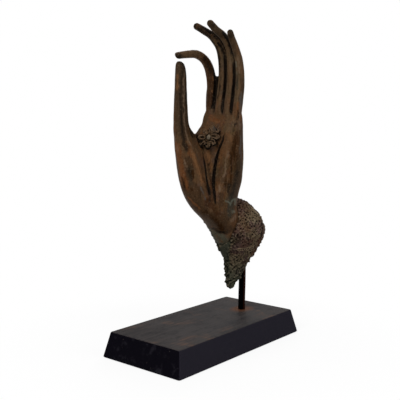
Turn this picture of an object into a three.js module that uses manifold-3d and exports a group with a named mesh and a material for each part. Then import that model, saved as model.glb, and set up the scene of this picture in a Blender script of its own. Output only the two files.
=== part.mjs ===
// A bronze hand in the teaching gesture, held by a steel rod over a dark wooden block.
// Millimetres, +Z up. The palm faces -Y and the little finger is on the +X side.
// The origin is at the middle of the underside, on the surface that the object stands on.
import * as THREE from 'three';
import { mergeVertices } from 'three/addons/utils/BufferGeometryUtils.js';
import Module from 'manifold-3d';

const wasm = await Module();
wasm.setup();

// Clearances
const castingGap = 0.3;
const rodClearance = 0.3;
const boreClearance = 0.25;
const feltClearance = 0.4;

// Wooden block, a low frustum with softened edges
const blockWidth = 107;
const blockLength = 207.4;
const blockTopZ = 27;
const sideTaper = 5.6;
const endTaper = 6.2;
const cornerRadius = 2;
const cornerSteps = 4;
const edgeSoftening = 0.9;
const softeningMiddle = 0.3;

// Felt sheet, let into the underside and standing a little proud
const feltThickness = 1.5;
const feltProud = 0.5;
const feltMargin = 7;

// Steel rod and what holds its foot
const rodDiameter = 8;
const rodFromEnd = 41;
const rodX = 2;
const rodTopHeight = 92;
const rodBow = 0.7;
const rodBelowNut = 1.2;
const washerDiameter = 18;
const washerThickness = 1.6;
const nutAcrossFlats = 13;
const nutThickness = 6.5;
const counterboreDiameter = 24;
const counterboreDepth = 11.5;

// The rod stands a little off the block's middle line, a set way in from its far end
const rodY = blockLength / 2 - rodFromEnd;

// Bronze casting
const fingerPitch = 12.5;
const fingerSquareness = 2.5;
const palmHollowWidth = 0.38;
const wristWall = 5;
const hollowLeastHalf = 1.5;
const corePlugRecess = 7;
const rimWidth = 3.2;
const rimGrooveWidth = 2.2;
const rimGrooveDepth = 1.3;
const rimGrooveFootZ = 62;

// The oblique cut that ends the tenon: a point on it and its slope, in the hand's frame
const cutFootY = -17;
const cutFootZ = 28;
const cutSlope = THREE.MathUtils.degToRad(56);

// Palm ornament. Its petals' reach, length and width are shares of half the flower, height of its relief.
const rosetteWidth = 28;
const rosetteHeight = 29;
const rosetteRelief = 3.6;
const rosettePlate = 1.6;
const rosetteSeat = 9;
const seatShare = 0.82;
const rosetteX = -5.2;
const rosetteY = -54.2;
const rosetteZ = 199.4;
const rosetteTurn = THREE.MathUtils.degToRad(26);
const rosettePetals = 8;
const plateLobeDepth = 0.12;
const outerPetal = { reach: 0.7, length: 0.62, width: 0.44, height: 0.62 };
const innerPetal = { reach: 0.36, length: 0.5, width: 0.34, height: 0.8 };
const budPetal = { reach: 0, length: 0.56, width: 0.32, height: 1 };
const budTurn = Math.PI / 3;

// Squareness and facets of each form
const palmForm = { sides: 32, squareness: 2.6, stepsBetween: 2 };
const thumbForm = { sides: 20, squareness: 2.1, stepsBetween: 2 };
const tenonForm = { sides: 30, squareness: 2.2, stepsBetween: 2 };
const hollowDetail = { sides: 20, stepsBetween: 1 };
const fingerSides = 14;
const fingerSteps = 22;
const fingerWebForm = { sides: 6, squareness: 2, steps: 6 };
const thumbWebForm = { sides: 12, squareness: 2, steps: 10 };
const rodSides = 20;
const rodSteps = 16;

// The hand's frame stands on the block's top at the rod: x and y from the rod, z from the top face.
// Levels run from the finger roots down to the smooth heel of the hand, all closed ovals:
// [height, centre x, centre y, half width, depth in front, depth behind, hollow of the palm, lean],
// where lean is how far the thumb's side of the palm comes forward.
const palmLevels = [
  [242, 0, -33, 17, 0.6, 0.6, 0, 0],
  [239, 0, -33.4, 18.7, 2, 2, 0, 0],
  [235, 0, -33.8, 19.7, 2.2, 3.5, 0, 0],
  [231, 0, -33.8, 20.8, 3, 5, 0, 3.5],
  [226, 0, -33.2, 22.2, 4.6, 6.4, 0, 7.5],
  [220, 0, -32.6, 22.7, 7.5, 7.6, 0, 10],
  [213, 0, -32.3, 23, 11, 8.8, 0.4, 12.5],
  [205, 0, -32.3, 22.5, 14.4, 10, 1, 21],
  [195, 0, -32.3, 22.5, 16.8, 10.7, 2, 28],
  [180, 0, -32, 22.6, 18, 11.5, 3, 24],
  [165, 0, -32, 22, 19, 11.5, 4, 12],
  [150, -0.5, -32, 20.3, 24, 12, 4, 4],
  [135, -1.8, -34.4, 17.8, 27, 13.5, 2, 0],
  [121, -2.8, -37.2, 18, 28, 16.5, 0, 0],
  [113, -2.5, -36, 18.5, 25, 18, 0, 0],
  [105, -2.5, -33.5, 17.5, 20, 16, 0, 0],
  [97, -2.5, -32.5, 15, 14, 14.5, 0, 0],
  [89, -2, -32, 12, 11, 12, 0, 0],
  [83, -2, -31.5, 8.5, 8, 8, 0, 0],
  [78, -2, -31, 3, 3, 3, 0, 0],
];

// Thumb, ball of the thumb and its run into the wrist, in the same form without the hollow
const thumbLevels = [
  [279.2, -22.9, -82, 1.6, 1.6, 1.6],
  [278.2, -22.7, -81.9, 3.2, 3.2, 3.2],
  [275, -22.1, -81.5, 4.9, 4.9, 4.9],
  [266, -21.8, -81, 6, 6, 6],
  [249, -21.8, -81, 6.6, 6.6, 6.6],
  [233, -21.9, -81, 7.2, 7.2, 7.2],
  [218, -22, -80.5, 8, 8, 8],
  [209, -22, -79.5, 8.8, 8.8, 9.4],
  [201, -21.8, -78.3, 9.2, 9.2, 14],
  [193, -21.3, -76.3, 10.5, 10.5, 24],
  [185, -21, -73.8, 11.9, 11.9, 28],
  [175, -20.5, -70, 13.6, 13.6, 28],
  [165, -20, -67, 14.8, 14.8, 28],
  [153, -18, -66, 15, 14.6, 28],
  [141, -14.5, -65.5, 14.5, 14, 28],
  [131, -12, -62.5, 14, 13.6, 26],
  [121, -9.6, -56.2, 13.2, 13, 22],
  [113, -8, -49, 12, 12, 18],
  [105, -6.5, -42, 10.5, 10.5, 12],
  [97, -5.5, -37, 8.4, 8.4, 8],
  [89, -5, -33.5, 6.5, 6.5, 6],
];

// Rough tenon before its cut, from the top of the wrist down to the tip
const tenonLevels = [
  [129.5, -1, -10, 3, 4, 3],
  [127, -1, -10, 9, 11, 8],
  [122.6, -0.5, -9, 15, 18, 13],
  [116, 0, -8, 20, 24, 19],
  [108, 0.5, -7, 23, 27, 26],
  [97, 1, -7, 25.2, 30, 32.5],
  [90, 0.5, -7, 24.5, 30, 35],
  [77, 0, -8, 20, 28, 33],
  [64, 0, -8, 13.4, 19.5, 26],
  [50, -0.3, -12.8, 7.6, 15, 20],
  [42, 0, -16, 6.8, 11, 12],
  [36, 0, -19.5, 5.4, 7, 5],
  [31.5, 0, -20.5, 4, 4.6, 2.8],
  [29, 0, -20.5, 2, 2.5, 1.6],
];

// Finger centre lines from the root to the tip, [y, z] in the hand's frame.
// lane counts finger pitches from the middle of the hand, drift is how far the tip leaves its lane,
// bow is how far the middle of the finger does, and plumpness is its thickness beside the others.
const fingers = [
  {
    lane: -1.5,
    drift: -4,
    bow: 0,
    plumpness: 1.06,
    line: [
      [-33, 212], [-35, 228], [-33.5, 244], [-32, 258], [-36, 274],
      [-43.8, 283.4], [-56, 288], [-70, 287], [-86.6, 284.2],
    ],
  },
  {
    lane: -0.5,
    drift: 0,
    bow: 0.8,
    plumpness: 1.04,
    line: [
      [-33, 212], [-34.5, 229], [-31, 248], [-28.9, 266], [-30.5, 284],
      [-35.9, 297], [-47.7, 306.3], [-60, 310.8], [-76.5, 315.2],
    ],
  },
  {
    lane: 0.5,
    drift: 0,
    bow: 1.6,
    plumpness: 1.05,
    line: [
      [-33, 212], [-34.5, 229], [-31, 252], [-30.9, 272],
      [-34, 293], [-44.4, 305], [-58.4, 312], [-69.2, 319.2],
    ],
  },
  {
    lane: 1.5,
    drift: 0,
    bow: 1.6,
    plumpness: 0.95,
    line: [[-33, 212], [-34.5, 229], [-32.5, 256], [-34.5, 278], [-40, 291.3], [-46.6, 303], [-50, 311.6]],
  },
];
// Shares of its lane at which a finger's first two points lie, where the roots draw together
const rootGather = [0.8, 0.93];
const fingerRootHalf = 5.5;
const fingerTipHalf = 3.3;
const fingerTipRound = 3;
const tipRoundTurns = [30, 55, 75];

// Webs of bronze that join two fingers behind their fronts: centre lines and half thickness
const fingerWebLines = [
  [[-11.5, -32, 216], [-12.3, -32.5, 228], [-12.3, -30.5, 244], [-12.6, -29, 256], [-13, -29.5, 266]],
  [
    [0, -32, 216], [0.4, -32.5, 229], [1, -29, 250], [1.2, -28, 270],
    [1.1, -31, 288], [0.8, -38, 300], [0.4, -47, 306.5], [0, -54, 309.5],
  ],
  [[11.8, -32, 216], [12.8, -32.5, 229], [13.9, -30, 252], [14.2, -30.8, 274], [13.6, -36, 289]],
];
const fingerWebHalf = 2.3;

// Web of skin between thumb and palm: centre line and half thickness
const thumbWebLine = [[-21, -77, 207], [-21, -67, 198.5], [-20, -57, 194.5], [-17, -48, 197], [-15, -40, 205]];
const thumbWebHalf = 7;

// Even stops from 0 to 1
function evenStops(count) {
  return Array.from({ length: count + 1 }, (_, step) => step / count);
}

// Signed power, the rounding law of a squared oval
function squared(value, squareness) {
  return Math.sign(value) * Math.abs(value) ** (2 / squareness);
}

// Closed skin over rings of equal count, from the top ring to the bottom one, with a fan on each end
function skinOver(rings) {
  const sides = rings[0].length;
  const positions = rings.flat().flatMap((point) => [point.x, point.y, point.z]);
  const faces = [];
  for (let level = 0; level < rings.length - 1; level += 1) {
    for (let side = 0; side < sides; side += 1) {
      const next = (side + 1) % sides;
      const upper = level * sides;
      const lower = upper + sides;
      faces.push(upper + side, lower + side, lower + next);
      faces.push(upper + side, lower + next, upper + next);
    }
  }
  const ends = [rings[0], rings[rings.length - 1]];
  ends.forEach((ring, end) => {
    const middle = new THREE.Vector3();
    ring.forEach((point) => middle.addScaledVector(point, 1 / sides));
    const pole = positions.length / 3;
    positions.push(middle.x, middle.y, middle.z);
    const start = end === 0 ? 0 : (rings.length - 1) * sides;
    for (let side = 0; side < sides; side += 1) {
      const next = (side + 1) % sides;
      if (end === 0) {
        faces.push(pole, start + side, start + next);
      } else {
        faces.push(pole, start + next, start + side);
      }
    }
  });
  const geometry = new THREE.BufferGeometry();
  geometry.setAttribute('position', new THREE.Float32BufferAttribute(positions, 3));
  geometry.setIndex(faces);
  return geometry;
}

// Smooth values between levels: each row of numbers is a point that a spline passes through
function smoothRows(rows, stepsBetween) {
  const count = (rows.length - 1) * stepsBetween;
  const columns = rows[0].map((_, column) => {
    const points = rows.map((row, index) => new THREE.Vector2(index, row[column]));
    return new THREE.SplineCurve(points);
  });
  const valuesAt = (share) => columns.map((curve) => curve.getPoint(share).y);
  return evenStops(count).map(valuesAt);
}

// Oval ring at one level; grow makes it larger all round
function levelRing(level, sides, squareness, grow) {
  const [z, centreX, centreY, halfWidth, front, behind, hollow = 0, lean = 0] = level;
  return Array.from({ length: sides }, (_, side) => {
    const turn = (2 * Math.PI * side) / sides;
    const across = squared(Math.cos(turn), squareness);
    const along = squared(Math.sin(turn), squareness);
    const depth = along < 0 ? front : behind;
    const dish = along < 0 ? hollow * Math.exp(-((across / palmHollowWidth) ** 2)) * -along : 0;
    const forward = lean * Math.max(0, -across) ** 2;
    return new THREE.Vector3(
      centreX + across * (halfWidth + grow),
      centreY + along * (depth + grow) + dish - forward,
      z,
    );
  });
}

// Solid through horizontal ovals, each larger by grow all round and the whole longer by endGrow at each end
function loftLevels(levels, { sides, squareness, stepsBetween, grow = 0, endGrow = grow }) {
  const rows = smoothRows(levels, stepsBetween);
  rows[0][0] += endGrow;
  rows[rows.length - 1][0] -= endGrow;
  return skinOver(rows.map((row) => levelRing(row, sides, squareness, grow)));
}

// Solid along a line of points, its ovals kept level with X. half(t) gives their half size at t from 0 to 1.
function sweepLine(points, half, { sides, squareness, stops }) {
  const curve = new THREE.CatmullRomCurve3(points, false, 'centripetal');
  const rings = stops.map((t) => {
    const centre = curve.getPointAt(t);
    const forward = curve.getTangentAt(t);
    const widthAxis = new THREE.Vector3(1, 0, 0).addScaledVector(forward, -forward.x).normalize();
    const depthAxis = new THREE.Vector3().crossVectors(widthAxis, forward);
    const size = half(t);
    return Array.from({ length: sides }, (_, side) => {
      const turn = (2 * Math.PI * side) / sides;
      return centre
        .clone()
        .addScaledVector(widthAxis, squared(Math.cos(turn), squareness) * size)
        .addScaledVector(depthAxis, squared(Math.sin(turn), squareness) * size);
    });
  });
  return skinOver(rings);
}

// Closed geometry to solid and back
function solid(geometry) {
  const bare = geometry.clone();
  bare.deleteAttribute('normal');
  bare.deleteAttribute('uv');
  const merged = mergeVertices(bare, 1e-4);
  const mesh = new wasm.Mesh({
    numProp: 3,
    vertProperties: new Float32Array(merged.attributes.position.array),
    triVerts: new Uint32Array(merged.index.array),
  });
  return new wasm.Manifold(mesh);
}

function geometryOf(body) {
  const mesh = body.getMesh();
  const geometry = new THREE.BufferGeometry();
  geometry.setAttribute('position', new THREE.Float32BufferAttribute(mesh.vertProperties, 3));
  geometry.setIndex(new THREE.Uint32BufferAttribute(mesh.triVerts, 1));
  geometry.computeVertexNormals();
  return geometry;
}

function upright(radius, height, bottomZ, sides) {
  const cylinder = new THREE.CylinderGeometry(radius, radius, height, sides);
  cylinder.rotateX(Math.PI / 2);
  cylinder.translate(0, 0, bottomZ + height / 2);
  return cylinder;
}

function finish(name, geometry, color, roughness, metalness) {
  const mesh = new THREE.Mesh(geometry, new THREE.MeshStandardMaterial({ color, roughness, metalness }));
  mesh.name = name;
  return mesh;
}

// Block: rounded rectangles stacked into a frustum, bored for the rod and recessed for the felt
const feltRecess = feltThickness - feltProud;
const blockHeight = blockTopZ - feltProud;
const feltWidth = blockWidth - 2 * feltMargin;
const feltLength = blockLength - 2 * feltMargin;

function rectangleRing(halfX, halfY, radius, z) {
  const corners = [[1, 1], [-1, 1], [-1, -1], [1, -1]];
  return corners.flatMap(([signX, signY], corner) => evenStops(cornerSteps).map((share) => {
    const turn = (Math.PI / 2) * (corner + share);
    return new THREE.Vector3(
      signX * (halfX - radius) + radius * Math.cos(turn),
      signY * (halfY - radius) + radius * Math.sin(turn),
      z,
    );
  }));
}

function blockShape() {
  const levels = [
    { z: blockTopZ, taper: 1, inset: edgeSoftening },
    { z: blockTopZ - softeningMiddle * edgeSoftening, taper: 1, inset: softeningMiddle * edgeSoftening },
    { z: blockTopZ - edgeSoftening, taper: 1 - edgeSoftening / blockHeight, inset: 0 },
    { z: feltProud + edgeSoftening, taper: edgeSoftening / blockHeight, inset: 0 },
    { z: feltProud, taper: 0, inset: edgeSoftening },
  ];
  return skinOver(levels.map(({ z, taper, inset }) => rectangleRing(
    blockWidth / 2 - taper * sideTaper - inset,
    blockLength / 2 - taper * endTaper - inset,
    cornerRadius,
    z,
  )));
}

function feltShape(grow, bottomZ, height) {
  const felt = new THREE.BoxGeometry(feltWidth + 2 * grow, feltLength + 2 * grow, height);
  felt.translate(0, 0, bottomZ + height / 2);
  return felt;
}

const washerTopZ = feltProud + counterboreDepth;
const washerZ = washerTopZ - washerThickness;
const nutZ = washerZ - nutThickness;
const rodFootZ = nutZ - rodBelowNut;

function block() {
  const bore = upright(rodDiameter / 2 + boreClearance, blockTopZ, feltProud, rodSides);
  const counterbore = upright(counterboreDiameter / 2, counterboreDepth, feltProud, 2 * rodSides);
  bore.translate(rodX, rodY, 0);
  counterbore.translate(rodX, rodY, 0);
  const body = solid(blockShape())
    .subtract(solid(feltShape(feltClearance, feltProud - feltRecess, 2 * feltRecess)))
    .subtract(solid(bore))
    .subtract(solid(counterbore));
  return geometryOf(body);
}

// Rod: straight through the block, then bowed a little in its free length
class RodLine extends THREE.Curve {
  getPoint(t, target = new THREE.Vector3()) {
    const z = THREE.MathUtils.lerp(rodFootZ, blockTopZ + rodTopHeight, t);
    const free = Math.max(0, (z - blockTopZ) / rodTopHeight);
    return target.set(rodX + rodBow * Math.sin(Math.PI * free) ** 2, rodY, z);
  }
}

function circle(radius, sides) {
  return new THREE.Shape(Array.from({ length: sides }, (_, side) => {
    const turn = (2 * Math.PI * side) / sides;
    return new THREE.Vector2(radius * Math.cos(turn), radius * Math.sin(turn));
  }));
}

function rod(radius) {
  return new THREE.ExtrudeGeometry(circle(radius, rodSides), {
    steps: rodSteps,
    extrudePath: new RodLine(),
    bevelEnabled: false,
  });
}

function rodHole() {
  const hole = rod(rodDiameter / 2 + rodClearance);
  hole.translate(-rodX, -rodY, -blockTopZ);
  return hole;
}

function washer() {
  const inner = rodDiameter / 2 + rodClearance;
  const outer = washerDiameter / 2;
  const profile = [[inner, 0], [outer, 0], [outer, washerThickness], [inner, washerThickness], [inner, 0]];
  const geometry = new THREE.LatheGeometry(profile.map(([r, h]) => new THREE.Vector2(r, h)), 2 * rodSides);
  geometry.rotateX(Math.PI / 2);
  geometry.translate(rodX, rodY, washerZ);
  return geometry;
}

function nut() {
  const cornerReach = nutAcrossFlats / 2 / Math.cos(Math.PI / 6);
  const outline = circle(cornerReach, 6);
  outline.holes.push(circle(rodDiameter / 2 + rodClearance, rodSides));
  const geometry = new THREE.ExtrudeGeometry(outline, { depth: nutThickness, bevelEnabled: false });
  geometry.translate(rodX, rodY, nutZ);
  return geometry;
}

// Hand: palm, thumb, web and four fingers grown together
function palmSolid(grow = 0, detail = {}) {
  return solid(loftLevels(palmLevels, { ...palmForm, ...detail, grow }));
}

function thumbSolid(grow = 0, detail = {}) {
  return solid(loftLevels(thumbLevels, { ...thumbForm, ...detail, grow }));
}

function fingerSolid({ lane, drift, bow, plumpness, line }) {
  const rootX = lane * fingerPitch;
  const last = line.length - 1;
  const points = line.map(([y, z], index) => {
    const spread = rootGather[index] ?? 1;
    const share = index / last;
    const x = rootX * spread + drift * share ** 2 + bow * Math.sin(Math.PI * share);
    return new THREE.Vector3(x, y, z);
  });
  const length = new THREE.CatmullRomCurve3(points, false, 'centripetal').getLength();
  const roundShare = fingerTipRound / length;
  const half = (t) => {
    const past = Math.max(0, 1 - (1 - t) / roundShare);
    const full = plumpness * THREE.MathUtils.lerp(fingerRootHalf, fingerTipHalf, t * t);
    return full * Math.sqrt(1 - past * past);
  };
  const straight = evenStops(fingerSteps).map((t) => t * (1 - roundShare));
  const rounded = tipRoundTurns.map((turn) => 1 - roundShare * (1 - Math.sin(THREE.MathUtils.degToRad(turn))));
  return solid(sweepLine(points, half, {
    sides: fingerSides,
    squareness: fingerSquareness,
    stops: straight.concat(rounded),
  }));
}

function webSolid(line, half, { sides, squareness, steps }) {
  const points = line.map(([x, y, z]) => new THREE.Vector3(x, y, z));
  return solid(sweepLine(points, () => half, { sides, squareness, stops: evenStops(steps) }));
}

function thumbWebSolid(grow = 0) {
  return webSolid(thumbWebLine, thumbWebHalf + grow, thumbWebForm);
}

function handSolid() {
  return fingers
    .map(fingerSolid)
    .concat(fingerWebLines.map((line) => webSolid(line, fingerWebHalf, fingerWebForm)))
    .concat(thumbWebSolid(), thumbSolid())
    .reduce((hand, piece) => hand.add(piece), palmSolid());
}

// Tenon: a rough sleeve round the wrist, cut obliquely, hollow behind its rim.
// behindCut is all that lies behind the cut, moved back by setback.
function behindCut(setback) {
  const reach = 300;
  const slab = new THREE.BoxGeometry(reach, reach, reach);
  slab.translate(0, reach / 2, 0);
  slab.rotateX(-(Math.PI / 2 - cutSlope));
  slab.translate(0, cutFootY + setback * Math.sin(cutSlope), cutFootZ - setback * Math.cos(cutSlope));
  return solid(slab);
}

function tenonSolid(grow = 0) {
  return solid(loftLevels(tenonLevels, { ...tenonForm, grow, endGrow: 0 }));
}

// The hollow is the tenon drawn in by its wall where it is thick enough, and kept a wall away
// from the smooth wrist. gap makes it smaller still, for what fills it.
function hollowSolid(gap = 0) {
  const wall = wristWall + gap;
  const roofZ = tenonLevels[0][0] - wristWall;
  const thickEnough = tenonLevels.filter(([z, , , halfWidth, front, behind]) => (
    z < roofZ && Math.min(halfWidth, front, behind) > wristWall + hollowLeastHalf
  ));
  return solid(loftLevels(thickEnough, { ...tenonForm, ...hollowDetail, grow: -wall, endGrow: -gap }))
    .subtract(palmSolid(wall, hollowDetail))
    .subtract(thumbSolid(wall, hollowDetail));
}

// Ornament: a flower of pointed petals on a scalloped plate, seated on the palm
function petal({ reach, length, width, height }, turn) {
  const bead = new THREE.SphereGeometry(1, 8, 6);
  bead.scale(length / 2, width / 2, height * rosetteRelief);
  bead.translate(reach, 0, 0);
  bead.rotateZ(turn);
  return bead;
}

function scallopedPlate(thickness) {
  const outline = evenStops(6 * rosettePetals).slice(0, -1).map((turnShare) => {
    const turn = 2 * Math.PI * turnShare;
    const lobe = Math.abs(Math.cos((rosettePetals * turn) / 2));
    const reach = THREE.MathUtils.lerp(1 - plateLobeDepth, 1, lobe);
    return new THREE.Vector2(Math.cos(turn) * reach, Math.sin(turn) * reach);
  });
  const shape = new THREE.Shape(outline);
  const plate = new THREE.ExtrudeGeometry(shape, { depth: thickness, bevelEnabled: false });
  plate.translate(0, 0, -thickness);
  return plate;
}

function rosette() {
  const ring = (count, form, startTurn) => evenStops(count)
    .slice(0, -1)
    .map((turnShare) => petal(form, 2 * Math.PI * turnShare + startTurn));
  const outer = ring(rosettePetals, outerPetal, 0);
  const inner = ring(rosettePetals / 2, innerPetal, Math.PI / rosettePetals);
  const pieces = [...outer, ...inner, petal(budPetal, budTurn)].map((piece) => {
    piece.scale(rosetteWidth / 2, rosetteHeight / 2, 1);
    return solid(piece);
  });
  const plate = scallopedPlate(rosettePlate);
  plate.scale(rosetteWidth / 2, rosetteHeight / 2, 1);
  const seat = scallopedPlate(rosetteSeat);
  seat.scale(seatShare * rosetteWidth / 2, seatShare * rosetteHeight / 2, 1);
  const flat = pieces.reduce((flower, piece) => flower.add(piece), solid(plate).add(solid(seat)));
  const standing = geometryOf(flat);
  standing.rotateX(Math.PI / 2);
  standing.rotateZ(rosetteTurn);
  standing.translate(rosetteX, rosetteY, rosetteZ);
  return solid(standing)
    .subtract(palmSolid(castingGap))
    .subtract(thumbSolid(castingGap))
    .subtract(thumbWebSolid(castingGap));
}

function core() {
  return hollowSolid(castingGap)
    .subtract(behindCut(-corePlugRecess))
    .subtract(solid(rodHole()));
}

function tenon() {
  const groove = behindCut(-rimWidth - rimGrooveWidth)
    .subtract(behindCut(-rimWidth))
    .subtract(tenonSolid(-rimGrooveDepth))
    .trimByPlane([0, 0, 1], rimGrooveFootZ);
  return tenonSolid()
    .subtract(palmSolid(castingGap))
    .subtract(thumbSolid(castingGap))
    .subtract(hollowSolid())
    .subtract(behindCut(0))
    .subtract(groove)
    .subtract(solid(rodHole()));
}

const hand = new THREE.Group();
hand.position.set(rodX, rodY, blockTopZ);
const bronze = [0x5a4434, 0.45, 0.9];
const roughBronze = [0x5b5144, 0.85, 0.6];
hand.add(finish('hand_casting', geometryOf(handSolid()), ...bronze));
hand.add(finish('wrist_tenon', geometryOf(tenon()), ...roughBronze));
hand.add(finish('core_plug', geometryOf(core()), 0x6d5f50, 0.95, 0));
hand.add(finish('palm_rosette', geometryOf(rosette()), ...bronze));

const model = new THREE.Group();
model.add(finish('base_block', block(), 0x1b1817, 0.55, 0));
model.add(finish('base_felt', feltShape(0, 0, feltThickness), 0x20201f, 1, 0));
model.add(finish('mounting_rod', rod(rodDiameter / 2), 0x241c18, 0.5, 0.8));
model.add(finish('rod_washer', washer(), 0x8d8f90, 0.4, 1));
model.add(finish('rod_nut', nut(), 0x8d8f90, 0.4, 1));
model.add(hand);

export default model;
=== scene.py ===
import bpy
import numpy as np
from mathutils import Matrix, Vector


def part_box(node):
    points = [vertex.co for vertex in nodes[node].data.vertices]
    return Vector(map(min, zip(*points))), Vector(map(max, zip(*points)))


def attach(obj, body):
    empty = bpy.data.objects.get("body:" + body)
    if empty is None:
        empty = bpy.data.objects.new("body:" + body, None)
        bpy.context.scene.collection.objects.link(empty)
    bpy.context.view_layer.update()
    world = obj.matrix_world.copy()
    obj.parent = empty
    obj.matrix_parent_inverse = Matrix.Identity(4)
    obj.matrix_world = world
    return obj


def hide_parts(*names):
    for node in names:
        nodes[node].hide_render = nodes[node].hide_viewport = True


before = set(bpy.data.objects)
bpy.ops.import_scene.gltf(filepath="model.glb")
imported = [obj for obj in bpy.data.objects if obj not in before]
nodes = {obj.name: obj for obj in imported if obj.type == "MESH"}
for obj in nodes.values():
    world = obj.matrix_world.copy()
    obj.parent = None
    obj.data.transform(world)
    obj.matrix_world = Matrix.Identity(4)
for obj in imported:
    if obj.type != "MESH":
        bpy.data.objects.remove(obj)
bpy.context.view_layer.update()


# Wooden block: a low frustum of planed hardwood, stained black and waxed. Its upper face is rubbed
# grey-brown along the grain, with a rust stain where the rod stands. The end that looks along -Y is
# painted nearly black as shade.
block_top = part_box("base_block")[1].z
rod_low, rod_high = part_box("mounting_rod")
rod_radius = (rod_high.y - rod_low.y) / 2
rod_foot = Vector((rod_low.x + rod_radius, rod_low.y + rod_radius, block_top))

end_shade_black = (0.0028, 0.0024, 0.0042, 1)
stain_blue_black = (0.0150, 0.0138, 0.0195, 1)
stain_grey = (0.0150, 0.0136, 0.0146, 1)
stain_scuffed = (0.0170, 0.0155, 0.0205, 1)
rubbed_brown = (0.046, 0.040, 0.0385, 1)
worn_red_brown = (0.095, 0.056, 0.040, 1)
rust_stain = (0.11, 0.045, 0.022, 1)
bare_fleck = (0.23, 0.19, 0.16, 1)


def new_material(name, roughness, metallic=0.0, specular=0.5):
    """Material with one principled shader, returned with its node tree and that shader."""
    material = bpy.data.materials.new(name)
    material.use_nodes = True
    shader = material.node_tree.nodes["Principled BSDF"]
    shader.inputs["Roughness"].default_value = roughness
    shader.inputs["Metallic"].default_value = metallic
    shader.inputs["Specular IOR Level"].default_value = specular
    return material, material.node_tree, shader


def place_in(tree, centre=(0, 0, 0), scale=(1, 1, 1), turn=(0, 0, 0)):
    """Object coordinates in metres, moved so that centre is the origin, then scaled and turned."""
    coordinates = tree.nodes.new("ShaderNodeTexCoord")
    shift = tree.nodes.new("ShaderNodeVectorMath")
    shift.operation = "SUBTRACT"
    shift.inputs[1].default_value = centre
    mapping = tree.nodes.new("ShaderNodeMapping")
    mapping.inputs["Scale"].default_value = scale
    mapping.inputs["Rotation"].default_value = turn
    tree.links.new(coordinates.outputs["Object"], shift.inputs[0])
    tree.links.new(shift.outputs[0], mapping.inputs["Vector"])
    return mapping.outputs["Vector"]


def noise(tree, vector, scale, detail=3.0, roughness=0.5, distortion=0.0):
    """Cloudy noise between 0 and 1 with about `scale` features to the unit."""
    cloud = tree.nodes.new("ShaderNodeTexNoise")
    cloud.inputs["Scale"].default_value = scale
    cloud.inputs["Detail"].default_value = detail
    cloud.inputs["Roughness"].default_value = roughness
    cloud.inputs["Distortion"].default_value = distortion
    tree.links.new(vector, cloud.inputs["Vector"])
    return cloud.outputs["Fac"]


def ramp(tree, value, low, high, most=1.0, least=0.0):
    """Value carried from low..high to least..most with soft ends, and held outside them."""
    step = tree.nodes.new("ShaderNodeMapRange")
    step.interpolation_type = "SMOOTHSTEP"
    for name, number in (("From Min", low), ("From Max", high), ("To Min", least), ("To Max", most)):
        step.inputs[name].default_value = number
    tree.links.new(value, step.inputs["Value"])
    return step.outputs["Result"]


def arithmetic(tree, operation, first, second):
    """One operation of two values, each a socket or a number."""
    step = tree.nodes.new("ShaderNodeMath")
    step.operation = operation
    for socket, value in zip(step.inputs, (first, second)):
        if isinstance(value, (int, float)):
            socket.default_value = value
        else:
            tree.links.new(value, socket)
    return step.outputs[0]


def product(tree, first, second):
    """Product of two values, each a socket or a number."""
    return arithmetic(tree, "MULTIPLY", first, second)


def mixed(tree, share, first, second):
    """Colour between first and second, each a socket or a colour."""
    mix = tree.nodes.new("ShaderNodeMix")
    mix.data_type = "RGBA"
    tree.links.new(share, mix.inputs["Factor"])
    for name, value in (("A", first), ("B", second)):
        socket = next(i for i in mix.inputs if i.name == name and i.type == "RGBA")
        if isinstance(value, tuple):
            socket.default_value = value
        else:
            tree.links.new(value, socket)
    return next(o for o in mix.outputs if o.type == "RGBA")


def layered(tree, colour, *layers):
    """Colour with others laid over it, each with the share that covers what lies below it."""
    for over, share in layers:
        colour = mixed(tree, share, colour, over)
    return colour


def surfaced(tree, shader, colour, height, strength, distance):
    """The shader's colour, and relief of the given depth in metres on its surface."""
    tree.links.new(colour, shader.inputs["Base Color"])
    bump = tree.nodes.new("ShaderNodeBump")
    bump.inputs["Strength"].default_value = strength
    bump.inputs["Distance"].default_value = distance
    tree.links.new(height, bump.inputs["Height"])
    tree.links.new(bump.outputs["Normal"], shader.inputs["Normal"])


def facing(tree, axis):
    """Share by which the surface looks along X, Y or Z, from -1 to 1."""
    geometry = tree.nodes.new("ShaderNodeNewGeometry")
    split = tree.nodes.new("ShaderNodeSeparateXYZ")
    tree.links.new(geometry.outputs["Normal"], split.inputs[0])
    return split.outputs[axis]


def distance_from(tree, vector):
    """Length of a vector."""
    length = tree.nodes.new("ShaderNodeVectorMath")
    length.operation = "LENGTH"
    tree.links.new(vector, length.inputs[0])
    return length.outputs["Value"]


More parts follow.
